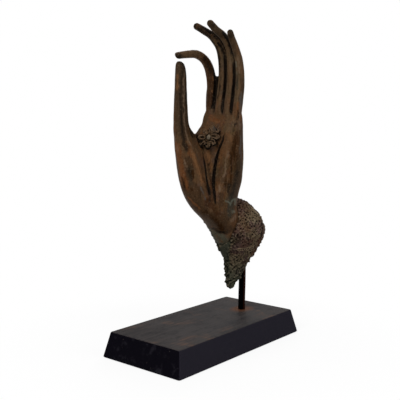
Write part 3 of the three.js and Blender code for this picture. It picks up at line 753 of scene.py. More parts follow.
# the tints that lie under the others with soft edges, and those whose edges are grainy as a crust's
soft_tints = ("tan", "umber", "grey", "russet")
crusted_tints = ("verdigris", "green", "mossy")
hand_tints = {
    # name: colour, greatest share, and its marks as lines (or single points) with a radius in millimetres
    "tan": ((0.064, 0.043, 0.023, 1), 0.6, [
        ([(-8, -34, 246), (-7, -35, 280), (-5, -46, 303)], 6),
        ([(5, -34, 246), (6, -36, 284), (8, -60, 313)], 6), ([(18, -36, 240), (19, -38, 285)], 6),
        ([(9, -40, 226), (11, -44, 209)], 5), ([(-18, -80, 286), (-17, -60, 289)], 5),
    ]),
    "umber": ((0.030, 0.0155, 0.0072, 1), 0.95, [
        ([(-13, -76, 134), (-7, -70, 122), (1, -62, 112), (12, -54, 110)], 13),
        ([(22, -34, 205), (21.5, -35, 165), (17, -38, 140)], 5.5), ([(-4, -52, 104), (5, -47, 99)], 8),
        ([(12.5, -54, 138), (12, -55, 128)], 3.5), ([(10, -42, 98), (13, -39, 99)], 4),
        ([(-11, -80, 176), (-12, -79, 160)], 5), ([(21, -36, 152), (18, -38, 125)], 7),
        ([(-17, -78, 148), (-10, -72, 132)], 6),
        ([(-13, -79, 156), (-9, -77.5, 148), (-2.2, -72, 143)], 5), ([(14, -50, 162), (13, -52, 152)], 3),
    ]),
    "grey": ((0.024, 0.015, 0.008, 1), 0.85, [
        ([(-20, -83, 276), (-20, -84, 250), (-19, -84, 222), (-17, -82, 206)], 8),
        ([(-3, -72, 312), (-3, -60, 309)], 5), ([(7, -69, 317), (9, -62, 312), (10, -52, 305)], 5),
        ([(21, -51, 310), (21.5, -47, 298)], 5), ([(21, -36, 170), (19, -38, 152), (17, -38, 136)], 7),
        ([(-12, -78, 168), (-12, -78, 150)], 4), ([(-19, -85, 284)], 4),
        ([(23, -33, 262), (23, -34, 236)], 3), ([(20, -42, 294), (20, -40, 286)], 3),
    ]),
    "russet": ((0.022, 0.0075, 0.0022, 1), 0.95, [
        ([(-15.8, -46, 283), (-15.6, -40, 274), (-15.8, -37, 262), (-15.4, -38, 248),
          (-14.6, -40, 235)], 5.5),
        ([(21.2, -40, 204), (20.4, -42, 190)], 2.4), ([(1, -65, 131), (6, -61, 125), (9, -58, 119)], 4),
        ([(-6, -66, 156), (-3, -63, 146)], 3), ([(-4.3, -51.6, 152), (1, -56, 142), (5, -60, 133)], 3),
    ]),
    "red": ((0.098, 0.035, 0.011, 1), 0.85, [
        ([(-22.5, -86.5, 190), (-22, -84.5, 178), (-20.5, -82.3, 166), (-18, -80, 152)], 5),
        ([(-14, -78, 136), (-8.4, -74.4, 128.9), (-5, -70, 123)], 1.5),
        ([(-20.7, -81.3, 162), (-17.2, -80.5, 153.5), (-13, -79.6, 145)], 2.6),
        ([(-13.6, -42, 221.7), (-8, -42, 218), (-2, -42, 216.5)], 3.2),
        ([(-12.5, -82.4, 190.8), (-9.8, -78.4, 180.3)], 2), ([(21.3, -39, 236), (21.7, -38.6, 226)], 1.5),
    ]),
    # copper patina, and a painted highlight along the thenar's ridge
    "copper": ((0.120, 0.055, 0.022, 1), 0.75, [
        ([(-8.9, -76, 182), (-6.7, -72.3, 170.6), (-5.1, -69.9, 162), (-3.4, -67.9, 153.4)], 2.8),
        ([(-20.4, -87, 264), (-20.7, -87.3, 250)], 1.7),
        ([(-14.5, -35.6, 265), (-14.4, -35.1, 257), (-14.6, -36.2, 249)], 1.2),
        ([(-5.6, -42.3, 216.2), (-2, -42, 216)], 1.4),
        ([(-7.9, -51.5, 183), (-7.8, -50.7, 174), (-6.8, -50.2, 163)], 3.0),
        ([(6, -47.8, 180), (2.2, -47.5, 166)], 1.8), ([(20.9, -41.3, 183), (20.5, -41.9, 177)], 1.9),
        ([(17.6, -46.4, 156), (17.4, -46.8, 151)], 1.3),
    ]),
    "gold": ((0.019, 0.0068, 0.0012, 1), 1.0, [
        ([(20.6, -41, 197), (20, -42.6, 187), (19.8, -43.1, 178), (19, -44.2, 168), (17.8, -46, 158),
          (16.6, -48, 150)], 5.2),
        ([(-1.6, -64.1, 117.7), (3.9, -60.6, 113.4), (7, -54, 107), (5.5, -47, 99)], 4.0),
        ([(-9, -77.5, 163), (-8.5, -77, 157)], 2.4), ([(-10.6, -79, 146), (-8.6, -78.2, 143)], 2.2),
        ([(-20, -81, 156), (-17.6, -80, 146)], 2.2),
    ]),
    # partly painted shade: the dark bands down the thumb, the fingertips and the dark edges of the fingers;
    # the rest are dark marks of the patina
    "dark": ((0.0095, 0.0058, 0.0032, 1), 0.93, [
        ([(-17.5, -83.2, 274), (-16.7, -84.4, 263.8), (-16.6, -85.2, 248.2), (-16.4, -85.7, 232.7),
          (-15.8, -85.6, 217), (-15.2, -85, 206.6), (-13.9, -83.7, 194), (-12.2, -82, 187.7)], 3.6),
        ([(-16.6, -77.6, 271), (-15.4, -79.6, 258.8), (-14.8, -79.7, 233.8), (-14, -78, 216),
          (-14, -75, 209.7), (-14.6, -70.5, 204.4)], 2.6),
        ([(-4.7, -72, 310.5), (-3.8, -65, 308.7), (-4.6, -55.8, 305.2), (-6.6, -46.5, 300.4),
          (-6.8, -39.4, 293.6), (-5.6, -36, 286)], 2.3),
        ([(-16, -48.6, 284.5), (-15.7, -42.2, 278), (-15.8, -38.5, 269.6)], 1.8),
        ([(-21.8, -86, 283.5), (-22, -90, 283)], 3.6), ([(-19, -82, 279), (-17.5, -79, 273)], 2.2),
        ([(-6, -77, 315.5), (-5.4, -75.5, 314), (-6.5, -71, 311)], 3.8),
        ([(6, -70, 320), (8.9, -69.1, 317.3), (10, -65.4, 314.6)], 3.2),
        ([(20, -51, 312), (21.3, -51, 309), (21.8, -50, 304)], 3.0),
        ([(-3.6, -47.9, 98.8), (1.7, -45.7, 95.7), (6, -44, 94.8), (9.5, -42, 96.5)], 2.9),
        ([(-6.6, -35.6, 284), (-5.9, -34.1, 271.5), (-4.9, -35.3, 255.3), (-5.6, -38, 241.2)], 1.5),
        ([(17.2, -46.5, 149), (16.2, -46.8, 142), (15.9, -43, 136.7)], 2.6),
        ([(19, -39.9, 148.6), (17.4, -39.6, 142), (15.9, -41, 135)], 2.4),
        ([(21.3, -37.8, 163), (19, -39.9, 148)], 2.0), ([(-9.7, -77.7, 155), (-12, -80, 166)], 2.0),
        ([(22, -37.8, 226), (20.4, -37.9, 219.3), (20.1, -39.2, 212.9), (19.3, -40.9, 208.7),
          (17.7, -42.8, 205.5)], 1.3),
        ([(-13.8, -74.5, 205.5), (-14.3, -68.2, 200.6), (-16.5, -59.8, 201.7)], 3.0),
    ]),
    # painted shade: the gaps between the fingers, under the rosette's lower and right edges, and in the heel
    # dent
    "painted_shade": ((0.0016, 0.0011, 0.0009, 1), 1.0, [
        ([(-12.3, -31.4, 266), (-13.3, -31.1, 255.8), (-13.5, -32.9, 247), (-13, -35.6, 238.2),
          (-12.6, -37.9, 231.6)], 1.9),
        ([(-0.2, -54.4, 308.5), (0.7, -48.8, 304.3), (-1.3, -40.3, 298.4), (-0.9, -34.6, 290.4),
          (-0.6, -31.5, 284.3), (-0.6, -30.9, 274.7), (-0.6, -31.4, 265), (-0.5, -32.4, 255.2)], 1.7),
        ([(-0.4, -32.5, 252), (1, -35, 240), (3.5, -39.2, 232.3)], 1.2),
        ([(11.7, -43.1, 300.8), (11.6, -38.5, 294.5), (13.8, -37.8, 288.1), (14, -35.5, 282),
          (12.8, -32.8, 273.8), (12.8, -32.8, 263.2), (12.4, -34, 254.7), (11.9, -35.7, 244),
          (11.7, -37.4, 233.3)], 1.6),
        ([(-12, -60.5, 188.2), (-10.5, -57, 187.6), (-8, -55.6, 186.3), (-5.4, -54.5, 184.8),
          (-3.2, -53.2, 185.6)], 1.3),
        ([(5.4, -49.2, 196), (7, -49.2, 199.4)], 1.3), ([(3.2, -45.2, 95.6), (5.5, -44.3, 95)], 1.6),
    ]),
    # painted highlights: thin light lines along ridges and edges of the thumb, palm and fingers
    "painted_highlight": ((0.120, 0.078, 0.050, 1), 0.55, [
        ([(-16.2, -81.2, 269), (-15.7, -82.5, 258.7), (-15.4, -83, 246.2), (-15.1, -83.6, 230.6),
          (-14.7, -83.8, 217), (-14.1, -83.3, 210.8), (-12.4, -80.5, 198.2), (-9.8, -75.9, 187.6)], 1.1),
        ([(15.2, -46.8, 185), (14.1, -47.6, 177), (13.2, -48.4, 166), (12.7, -50.4, 158)], 1.5),
        ([(23.5, -40.2, 285), (22.9, -38.2, 277), (22.7, -37.3, 268)], 1.5),
        ([(4.4, -49.5, 190.5), (-1, -47.4, 179.5), (-3.2, -48.2, 168.6)], 1.0),
        ([(-15.3, -82.6, 175), (-14, -81, 168)], 1.3), ([(-22, -86, 190), (-21.5, -86, 183)], 1.6),
        ([(18.7, -38.7, 278), (18.8, -38.1, 274.7)], 1.2), ([(9.3, -36.5, 282), (9.3, -36.3, 270)], 1.3),
        ([(22.4, -35.9, 222), (22.3, -35.7, 208)], 1.3), ([(9.6, -54.2, 148), (11, -54.5, 142)], 1.3),
        ([(15.8, -33.6, 111.7), (15.5, -40.4, 109.1)], 2.6),
        ([(-10, -52.9, 105.4), (-12, -60, 120), (-13.5, -64, 128)], 1.2),
    ]),
    # painted bluish highlights along the outer edges of the little finger and hypothenar and on the thenar,
    # and one mark on the rosette
    "blue": ((0.058, 0.052, 0.048, 1), 0.65, [
        ([(24.3, -35.5, 245.7), (24, -35.2, 238.4), (23.4, -35.1, 229.9), (22.6, -34.3, 223.6)], 1.8),
        ([(22.3, -34.8, 200), (22.4, -34, 187), (22.4, -33.4, 177)], 1.8),
        ([(-2.6, -71.3, 147), (0, -69, 139.7), (1.1, -67.4, 133)], 1.2), (on_rosette((9, 9)), 3.0),
    ]),
    "green": ((0.047, 0.046, 0.032, 1), 0.85, [
        ([(-11.3, -47.1, 99.6), (-7, -45.4, 95.4), (-0.8, -44.3, 92.5), (5, -42, 90)], 2.6),
        ([(5, -41, 88), (6.9, -38.1, 85.9), (4, -37, 80)], 4.5), ([(-9, -42, 91), (-5, -40, 86)], 4),
        ([(-6, -38, 85), (-2, -36, 80)], 4.5),
    ]),
    "crusty": ((0.013, 0.015, 0.009, 1), 0.95, [
        ([(-15, -48, 106), (-13.5, -43, 97), (-12, -41, 90), (-10, -36, 83), (-6, -33, 75)], 5.0),
        ([(-8, -35, 81), (0, -37, 78), (7, -38, 81)], 3.4),
    ]),
    "mossy": ((0.024, 0.022, 0.015, 1), 0.9, [
        ([(15, -42, 131), (15, -42, 118)], 7), ([(-20, -82, 262), (-19, -82, 240)], 2),
        ([(20, -37, 262), (19, -38, 250)], 1.6),
    ]),
    "verdigris": ((0.105, 0.112, 0.086, 1), 0.6, [
        ([(14.4, -48.9, 131.3), (15, -45.2, 129.7), (15.1, -42.8, 127.3)], 1.3),
        ([(15.1, -42.5, 127.9), (15.4, -39.1, 130.2), (15.7, -35, 131.4)], 1.4),
        ([(15.5, -34.1, 130.5), (15.2, -34, 127.1)], 1.4),
        ([(15.3, -38, 118.5), (15.3, -34.5, 118.2)], 2.1),
        ([(15.1, -32.8, 127), (15.4, -31.5, 131.4)], 1.8),
        ([(18.7, -38.7, 278), (18.8, -38.1, 274.7)], 1.6),
        ([(18.9, -37.5, 268.4), (19.1, -37.4, 266.3)], 1.2),
    ]),
}


def marked(points, marks):
    """Strength of a set of marks: a bell curve of the distance from each line or point, its edge made ragged
    by shaking the points first."""
    ragged = shaken(points, 1.2, 6, 41)
    ragged += 0.8 * np.stack([lumps(points, 2.4, seed) for seed in (44, 45, 46)], 1)
    total = np.zeros(len(points))
    for line, width in marks:
        total += spot(ragged, line[0], width) if len(line) == 1 else bell(beside(ragged, line)[0], width)
    return total


def bronze_hand():
    """Palm and thumb as stacked ovals, web and fingers as swept ones, grown together, eased where they meet,
    bedded for the rosette, made a little uneven and chased. How deep the creases and hollows lie and how near
    other surfaces stand are painted on for the material's painted shade and highlights, and so are the tints'
    marks."""
    skins = [
        level_rings(palm_levels, palm_squareness),
        level_rings(thumb_levels, thumb_squareness),
        swept_rings(web_line, evenly(web_half)),
        *[finger_rings(*finger) for finger in fingers.values()],
        *[swept_rings(line, evenly(finger_web_half)) for line in finger_webs],
    ]
    points, quads, fans = joined_skins([closed_skin(rings) for rings in skins])
    hand = grown_together(new_object("hand", in_place(points), quads, fans), hand_grain)
    mesh = hand.data
    points = points_of(mesh)
    local = from_foot(points)
    meeting = spot(local, web_middle, web_reach) + 0.5 * bell(local[:, 2] - finger_root_height, 4)
    meeting += 2.0 * stroke(local, thenar_valley, thenar_valley_half, 0.05)
    points = eased(mesh, points, 4)
    points = eased(mesh, points, 60, 0.5 * np.clip(meeting, 0, 1))
    local = bedded(from_foot(points))
    local = eased(mesh, local, 10, 0.5 * spot(local, rosette_middle, 1.6 * rosette_reach))
    move_points(mesh, in_place(local))
    push_out(mesh, 0.10 * lumps(local, 9.0, 21) + 0.07 * lumps(local, 4.0, 22))
    crusty = np.clip(marked(local, hand_tints["crusty"][2]), 0, 1)
    push_out(mesh, crusty * (0.7 * lumps(local, 3.2, 51) + 0.5 * lumps(local, 1.7, 52)))
    paint(mesh, "crease", np.clip(chased(mesh), -1, 3))
    local = from_foot(points_of(mesh))
    # painted shade: the material darkens the gaps between the fingers by how near other surfaces stand in
    # front of each point
    shaded = np.stack([hollowness(mesh, 12), crowding(local, normals_of(mesh))], 1)
    for name, values in zip(("hollow", "occlusion_shade"), eased(mesh, shaded, 4).T):
        paint(mesh, name, values)
    # curvature over a wide reach, which the material turns into painted highlight on ridges and painted shade
    # in hollows
    paint(mesh, "broad_shading", hollowness(mesh, 70))
    for name, (_, _, marks) in hand_tints.items():
        paint(mesh, name, marked(local, marks))
    return hand


def bronze_patina():
    """Brown patina in sharp-edged streaks and flakes of several hues drawn out along the hand, each tint's
    marks over it, some of them painted shade and highlights, painted shade in the hollows, creases and gaps,
    and ridges lighter as worn bronze and painted highlight."""
    material, tree, shader = new_material("bronze_patina", 0.42, metallic=0.05, specular=0.04)
    place = place_in(tree)
    cloud = noise(tree, place, 55, 5, 0.6, 0.4)
    fine = noise(tree, place, 620, 3, 0.6)
    streak = noise(tree, place_in(tree, scale=(1, 1, 0.14)), 360, 3, 0.6, 0.5)
    broad_shading = painted(tree, "broad_shading")
    crease = painted(tree, "crease")
    hollow = arithmetic(tree, "ADD", painted(tree, "hollow"), product(tree, crease, 0.1))
    crust = product(tree, painted(tree, "crusty"), ramp(tree, fine, 0.46, 0.6))
    streaked = ramp(tree, streak, 0.7, 0.3, 1.0, 0.7)
    torn = ramp(tree, streak, 0.35, 0.6, 1.2, 0.5)
    grainy = ramp(tree, fine, 0.35, 0.6, 1.2, 0.5)

    def flakes(shift, scale, stretch, low, high, most):
        """Share of a hue that lies in flakes with sharp edges, drawn out upwards by 1 / stretch."""
        spots = noise(tree, place_in(tree, centre=(shift, 0, 0), scale=(1, 1, stretch)), scale, 4, 0.65, 0.6)
        return ramp(tree, spots, low, high, most)

    soft, sharp = [], []
    for name, (tint, most, _) in hand_tints.items():
        if name in soft_tints:
            soft.append((tint, product(tree, ramp(tree, painted(tree, name), 0.15, 0.85, most), streaked)))
        else:
            broken = product(tree, painted(tree, name), grainy if name in crusted_tints else torn)
            sharp.append((tint, ramp(tree, broken, 0.1, 0.95, most)))
    colour = layered(
        tree,
        bronze_brown,
        (bronze_warm, ramp(tree, cloud, 0.35, 0.65)),
        # painted highlight on wide ridges (partly worn bronze) and painted shade in wide hollows
        (bronze_rubbed_and_highlight, ramp(tree, broad_shading, -0.3, -1.8, 0.3)),
        (bronze_dark_and_shade, ramp(tree, broad_shading, 0.5, 2.4, 0.6)),
        (bronze_orange, flakes(0.31, 110, 0.35, 0.48, 0.66, 0.5)),
        (bronze_plum, flakes(0.47, 130, 0.4, 0.5, 0.66, 0.45)),
        (bronze_olive, flakes(0.59, 120, 0.45, 0.5, 0.66, 0.5)),
        (bronze_rubbed_and_highlight, flakes(0.73, 300, 0.12, 0.52, 0.7, 0.35)),
        *soft,
        # painted highlight on the rosette's bud
        (bud_highlight, ramp(tree, painted(tree, "lit"), 0.3, 0.9, 0.8)),
        *sharp,
        (bronze_dark_and_shade, ramp(tree, streak, 0.5, 0.75, 0.5)),
        (crust_lichen, ramp(tree, crust, 0.3, 0.8, 0.7)),
        # painted shade in the hollows and, dark red, in the chased creases
        (bronze_dark_and_shade, ramp(tree, hollow, 0.06, 0.4, 0.98)),
        (crease_red_shade, ramp(tree, crease, 0.9, 1.7, 0.6)),
        # painted shade in the gaps between the fingers
        (bronze_dark_and_shade, ramp(tree, painted(tree, "occlusion_shade"), 0.12, 0.5, 0.98)),
        (bronze_dark_and_shade, ramp(tree, fine, 0.54, 0.7, 0.5)),
        (bronze_bright, ramp(tree, fine, 0.42, 0.3, 0.3)),
    )
    shader.inputs["Specular Tint"].default_value = bronze_glint
    tree.links.new(ramp(tree, cloud, 0.3, 0.7, 0.55, 0.4), shader.inputs["Roughness"])
    surfaced(tree, shader, colour, fine, 0.4, 0.0004)
    return material


hand = bronze_hand()
patina = bronze_patina()
give(hand, patina)
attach(hand, "root")
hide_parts("hand_casting")


# Tenon: the sleeve that once held the hand in a larger figure's arm. It was never chased, so it keeps
# the lumps, pits and scale of its mould. Its wall is remade from the solid and roughened.
tenon_grain = 0.0007
cut_foot = (-17.0, 28.0)
cut_slope = np.radians(56.0)
rim_width = 3.2
tenon_swell = 0.45
tenon_foot = (45, 66)
tenon_ridge = [(7.5, -37, 84), (5.4, -33.2, 74), (3.2, -29.5, 62), (2.5, -27.5, 52)]
tenon_seam = [(15.5, -31, 102), (13.5, -34, 95), (9.8, -37, 90), (7, -36, 82), (4.2, -32.5, 73)]
right_groove = [(20.4, 8.4, 106), (22.4, 6.5, 103), (23.8, 4.5, 98.2), (23.2, 4.6, 90.1), (20, 6, 81.5)]
right_scale = [(22.7, 4.4, 86.7), (20.6, 3.6, 80.9), (16.9, 5.1, 73.3), (13, -3, 63.6)]
right_edge = [(15.4, -8, 121), (19.7, -3.4, 115.8), (20.8, 2.8, 110.8), (20.4, 9.4, 105.5)]
smooth_tongue = [(0, -42, 90), (4, -39, 83), (2.6, -36.1, 78.4), (-2.5, -31.4, 70.4), (-4, -29, 60)]
punched_line = [
    (13.2, -28, 75.2), (16, -24.3, 75.4), (18.2, -18, 75.6), (19.1, -9.7, 75.4), (18.8, -1.6, 75.2),
]
punched_height = 75.3
punched_dots = 10
bright_chips = [
    ([(22, 6.2, 105.4), (20.1, 7.9, 107.9)], 1.3), ([(12, -4.6, 61.4), (13.2, -4.9, 63.9)], 1.2),
]
pale_shoulder = (24, -9, 105)
dark_flank = (14, -31, 88)
left_side = np.array([-0.766, -0.643, 0])
front_side = np.array([0.643, -0.766, 0])
crust_brown = (0.124, 0.089, 0.052, 1)
crust_purple = (0.074, 0.043, 0.036, 1)
crust_olive = (0.027, 0.033, 0.022, 1)
crust_green_and_shade = (0.011, 0.013, 0.008, 1)
tongue_olive = (0.029, 0.029, 0.020, 1)
crust_pale_and_highlight = (0.17, 0.135, 0.092, 1)
crust_strip = (0.150, 0.106, 0.066, 1)
crust_dark_and_shade = (0.003, 0.002, 0.0015, 1)
crust_rust = (0.040, 0.014, 0.006, 1)
crust_fleck = (0.34, 0.30, 0.20, 1)


def copy_of(node, name):
    """The CAD node's shape as a new object with its loose triangles merged."""
    source = nodes[node].data
    points = np.round(points_of(source), 7)
    source.calc_loop_triangles()
    corners = np.empty(len(source.loop_triangles) * 3, np.int32)
    source.loop_triangles.foreach_get("vertices", corners)
    kept, where = np.unique(points, axis=0, return_inverse=True)
    faces = where.reshape(-1)[corners].reshape(-1, 3)
    faces = faces[(faces[:, 0] != faces[:, 1]) & (faces[:, 1] != faces[:, 2]) & (faces[:, 2] != faces[:, 0])]
    return new_object(name, kept, faces)


def rough_tenon():
    """The tenon's solid, moved along its normals by random lumps of three sizes and pits of two. Both are
    weaker on the punched row and the smooth tongue. Ridge, seam, grooves and rim are bell curves beside their
    lines. What the crust needs to know of them is painted on."""
    tenon = grown_together(copy_of("wrist_tenon", "tenon"), tenon_grain)
    mesh = tenon.data
    move_points(mesh, eased(mesh, points_of(mesh), 4))
    points = from_foot(points_of(mesh))
    height = points[:, 2]
    setback = (height - cut_foot[1]) * np.cos(cut_slope) - (points[:, 1] - cut_foot[0]) * np.sin(cut_slope)
    row = stroke(points, punched_line, 3.0, 0.1)
    tongue = np.clip(1.5 * stroke(points, smooth_tongue, 5.0, 0.1), 0, 1)
    rim_dark = stroke(points, right_groove, 2.2, 0.2)
    rim_pale = stroke(points, right_edge, 1.6, 0.2)
    groove = bell(setback - rim_width - 1, 1.0) * smooth_step(height, 55, 66)

    coarser = 0.8 + 1.1 * (1 - smooth_step(height, *tenon_foot))
    relief = 0.4 * lumps(points, 7.0, 1) + coarser * lumps(points, 3.6, 2) + 0.9 * lumps(points, 1.9, 3)
    twisted = shaken(points, 1.5, 3.0, 5)
    patchy = smooth_step(lumps(points, 9.0, 8), -0.3, 0.3)
    relief -= 1.7 * patchy * np.clip(1 - pits(twisted, 4.4, 4) / 0.5, 0, 1)
    relief -= 0.9 * np.clip(1 - pits(twisted, 2.6, 7) / 0.45, 0, 1) * (1 - 0.6 * patchy)
    relief *= (1 - 0.7 * row) * (1 - 0.75 * tongue)
    relief += 1.6 * stroke(points, tenon_ridge, 1.8, 0.2) - 1.3 * stroke(points, tenon_seam, 1.6, 0.1)
    relief += tenon_swell + 0.5 * row - 1.2 * rim_dark + 0.7 * rim_pale - 1.5 * groove
    push_out(mesh, relief)

    left = points @ left_side + 1.2 * lumps(points, 5, 31)
    front = points @ front_side + 2.5 * lumps(points, 6, 32)
    # painted shade with the green-black patina on the left flank, below the wrist
    green = smooth_step(left, 13.5, 16.5) * smooth_step(front, 2, 14) * (1 - smooth_step(height, 108, 116))
    behind_rim = bell(setback - 5, 4.0) * smooth_step(height, 60, 72)
    for name, values in {
        # painted shade in the grooves by the rim
        "groove": groove + 1.4 * rim_dark,
        # painted highlight along the rim and on the shoulder
        "edge": rim_pale + 0.62 * spot(points, pale_shoulder, 8),
        "fleck": sum(stroke(points, line, width, 0.01) for line, width in bright_chips),
        "row": row,
        "row_up": np.abs(height - punched_height),
        "row_place": punched_dots * beside(points, punched_line)[1],
        "tongue": tongue,
        "green": green,
        "rust": stroke(points, right_scale, 3.6, 0.1) + behind_rim,
        "shade": 1.3 * spot(points, dark_flank, 8),
        "hollow": hollowness(mesh, 8),
    }.items():
        paint(mesh, name, values)
    return tenon


def bronze_crust():
    """Mould scale in clouds of brown and purple-grey with dark and paler grain. It is green-black low down
    and, with painted shade, on the left, rusty and shaded where that is painted, in painted shade in pits,
    grooves and punched dots, with painted highlight on the tops of lumps, along the rim and on the shoulder,
    and has a few bright flecks."""
    material, tree, shader = new_material("bronze_crust", 0.8, specular=0.02)
    place = place_in(tree)
    cloud = noise(tree, place, 60, 4, 0.6, 0.6)
    grain = noise(tree, place, 420, 4, 0.7, 0.4)
    fine = noise(tree, place, 900, 3, 0.65, 0.3)
    zone = ramp(tree, noise(tree, place_in(tree, centre=(0.2, 0, 0)), 70, 3, 0.6, 0.6), 0.4, 0.6, 1.0, 0.25)
    height = tree.nodes.new("ShaderNodeSeparateXYZ")
    tree.links.new(place_in(tree, centre=rod_foot), height.inputs[0])
    low = arithmetic(tree, "ADD", height.outputs["Z"], product(tree, cloud, 0.03))
    hollow = painted(tree, "hollow")
    strip = ramp(tree, painted(tree, "row"), 0.25, 0.6)
    row_up = painted(tree, "row_up")
    dots = ramp(tree, arithmetic(tree, "PINGPONG", painted(tree, "row_place"), 0.5), 0.34, 0.22)
    dots = product(tree, product(tree, dots, strip), ramp(tree, row_up, 1.2, 0.8))
    colour = layered(
        tree,
        crust_brown,
        (crust_purple, ramp(tree, cloud, 0.44, 0.56)),
        (crust_dark_and_shade, product(tree, ramp(tree, grain, 0.5, 0.6, 0.85), zone)),
        (crust_pale_and_highlight, ramp(tree, grain, 0.46, 0.38, 0.3)),
        (crust_dark_and_shade, ramp(tree, fine, 0.54, 0.64, 0.6)),
        (crust_pale_and_highlight, ramp(tree, fine, 0.42, 0.33, 0.5)),
        (crust_rust, ramp(tree, noise(tree, place, 34, 3, 0.6, 0.8), 0.48, 0.62, 0.55)),
        # painted highlight along the rim and on the shoulder
        (crust_pale_and_highlight, ramp(tree, painted(tree, "edge"), 0.4, 0.8, 0.8)),
        (crust_dark_and_shade, ramp(tree, low, 0.115, 0.09, 0.35)),
        (crust_olive, ramp(tree, low, 0.085, 0.05, 0.8)),
        (crust_rust, ramp(tree, painted(tree, "rust"), 0.3, 0.9, 0.7)),
        (crust_dark_and_shade, ramp(tree, painted(tree, "shade"), 0.3, 0.9, 0.65)),
        # green-black patina and painted shade on the left flank
        (crust_green_and_shade, ramp(tree, painted(tree, "green"), 0.2, 0.8, 0.9)),
        (tongue_olive, ramp(tree, painted(tree, "tongue"), 0.2, 0.9, 0.8)),
        # painted highlight on the tops of lumps and painted shade in pits
        (crust_pale_and_highlight, ramp(tree, hollow, -0.1, -0.5, 0.4)),
        (crust_dark_and_shade, ramp(tree, hollow, 0.0, 0.3)),
        # painted shade in the grooves and the punched dots
        (crust_dark_and_shade, ramp(tree, painted(tree, "groove"), 0.3, 0.9, 0.9)),
        (crust_strip, product(tree, strip, ramp(tree, row_up, 2.2, 1.4, 0.75))),
        (crust_dark_and_shade, dots),
        (crust_fleck, ramp(tree, painted(tree, "fleck"), 0.3, 0.8, 0.9)),
        (crust_fleck, ramp(tree, noise(tree, place, 700, 2), 0.76, 0.79, 0.7)),
    )
    surfaced(tree, shader, colour, grain, 0.8, 0.0007)
    return material


tenon = rough_tenon()
give(tenon, bronze_crust())
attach(tenon, "root")
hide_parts("wrist_tenon")


# Core plug: the fired clay round which the tenon was cast, left in its hollow. The rod is set in it.
clay_brown = (0.09, 0.062, 0.042, 1)
clay_pale = (0.17, 0.13, 0.095, 1)
clay_grain = 0.0011
clay_shrinkage = 0.4


def clay_core():
    """The core's solid with crumbled faces, drawn in a little from the bronze."""
    core = grown_together(copy_of("core_plug", "core"), clay_grain)
    mesh = core.data
    move_points(mesh, eased(mesh, points_of(mesh), 3))
    points = from_foot(points_of(mesh))
    push_out(mesh, 0.25 * lumps(points, 5.0, 11) + 0.15 * lumps(points, 2.2, 12) - clay_shrinkage)
    return core


def fired_clay():
    """Grainy brown clay with paler grit."""
    material, tree, shader = new_material("fired_clay", 0.95, specular=0.15)
    grit = noise(tree, place_in(tree), 260, 5, 0.7)
    colour = mixed(tree, ramp(tree, grit, 0.4, 0.7), clay_brown, clay_pale)
    surfaced(tree, shader, colour, grit, 0.6, 0.0008)
    return material


core = clay_core()
give(core, fired_clay())
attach(core, "root")
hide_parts("core_plug")


# Palm rosette: a cast flower laid on the palm, with curled petals cut apart by deep slots and one
# long petal standing up in the middle. Millimetres from its own middle, height away from the palm.
rosette_sides = 300
rosette_steps = 70
rosette_ground = 1.3
petal_edge_height = 1.5
petal_edge_half = 0.75
petal_slot_depth = 1.7
rosette_lobes = [
    # direction in degrees, reach, half angle
    (68, 1.0, 19), (36, 1.02, 17), (0, 0.92, 18), (-45, 0.9, 20), (-95, 0.98, 20), (-136, 0.98, 19),
    (-178, 0.86, 19), (122, 0.78, 22),
]
rosette_edges = [
    # raised edges of the petals, each a line of places across and up
    [(4.2, 5.5), (4.6, 9), (6.6, 12), (8.4, 10.4), (10.8, 10.6), (12, 7.8), (10.2, 5.6), (7.6, 5.4)],
    [(3.2, 3.6), (5.4, 6), (7.2, 8.4)],
    [(2.4, 2.4), (6, 3.4), (9.6, 2.8), (12, 1.2), (11.2, -0.8), (9.4, -0.4)],
    [(2.4, 0.2), (5.6, -0.4), (8.4, -1.6), (10.6, -1.6)],
    [(2, -2.4), (5.4, -3), (8.8, -4.4), (10.2, -6.8), (8.6, -9.2), (6.4, -9.6), (5.4, -7.8), (6.6, -6.6)],
    [(0.4, -5.2), (2.6, -4.6), (4.6, -6), (4.4, -8.6), (2.2, -9.4), (0.6, -8.2), (1.2, -6.8), (2.6, -7)],
    [(-2.6, -8.6), (-2.4, -11.2), (-0.3, -12.6), (1.8, -11.8), (3, -10.6)],
    [(-3.4, -3.8), (-6.2, -5.6), (-9, -9.6), (-6, -10), (-4.2, -7.8), (-2.6, -5.4)],
    [(-3.6, 1.2), (-7, 1.8), (-10.4, 0.6), (-11.6, -1)], [(-3.8, -1.6), (-7, -1.8), (-10.2, -1.6)],
    [(-1.4, 2.6), (-3, 4), (-4.6, 6.8), (-5.8, 5), (-4.6, 2.6)],
    [(0.6, 3.8), (1.4, 7), (3, 9.6), (3.6, 6.4)],
]
rosette_slots = [
    # what is cut deep between and inside them, with a half width
    ([(-1.6, 3), (-2.5, 0.6), (-2.2, -2.6)], 0.55), ([(-3.8, -2.6), (-4.4, -3.4)], 0.9),
    ([(-9, -0.2), (-5, 0)], 0.6), ([(-7.6, -8.2), (-5.6, -6)], 0.5), ([(-3.8, -7.4), (-2, -4.4)], 0.6),
    ([(0.4, -3.8), (3.2, -3.6), (6, -4.8)], 0.45), ([(11, -2.8), (11.4, -4)], 1.0),
    ([(8, 9.6), (9.2, 6.8)], 0.6), ([(-3.4, 5.6), (-4, 6)], 0.9), ([(-0.6, 6), (0, 10)], 0.7),
    ([(4, 4.4), (9, 4.3), (12, 4)], 0.5), ([(3.4, 1.3), (8.4, 1)], 0.4), ([(5, -1.7), (9, -3.2)], 0.4),
    ([(3.6, -10), (5.4, -10.4)], 0.7), ([(-2.4, -6.8), (-3, -12)], 0.6), ([(-6.5, -3.6), (-11, -5)], 0.9),
    ([(-6, 3.6), (-9.5, 3.2)], 0.8),
]
rosette_bud = (0.1, -0.2)
rosette_bud_half = (3.9, 2.1)
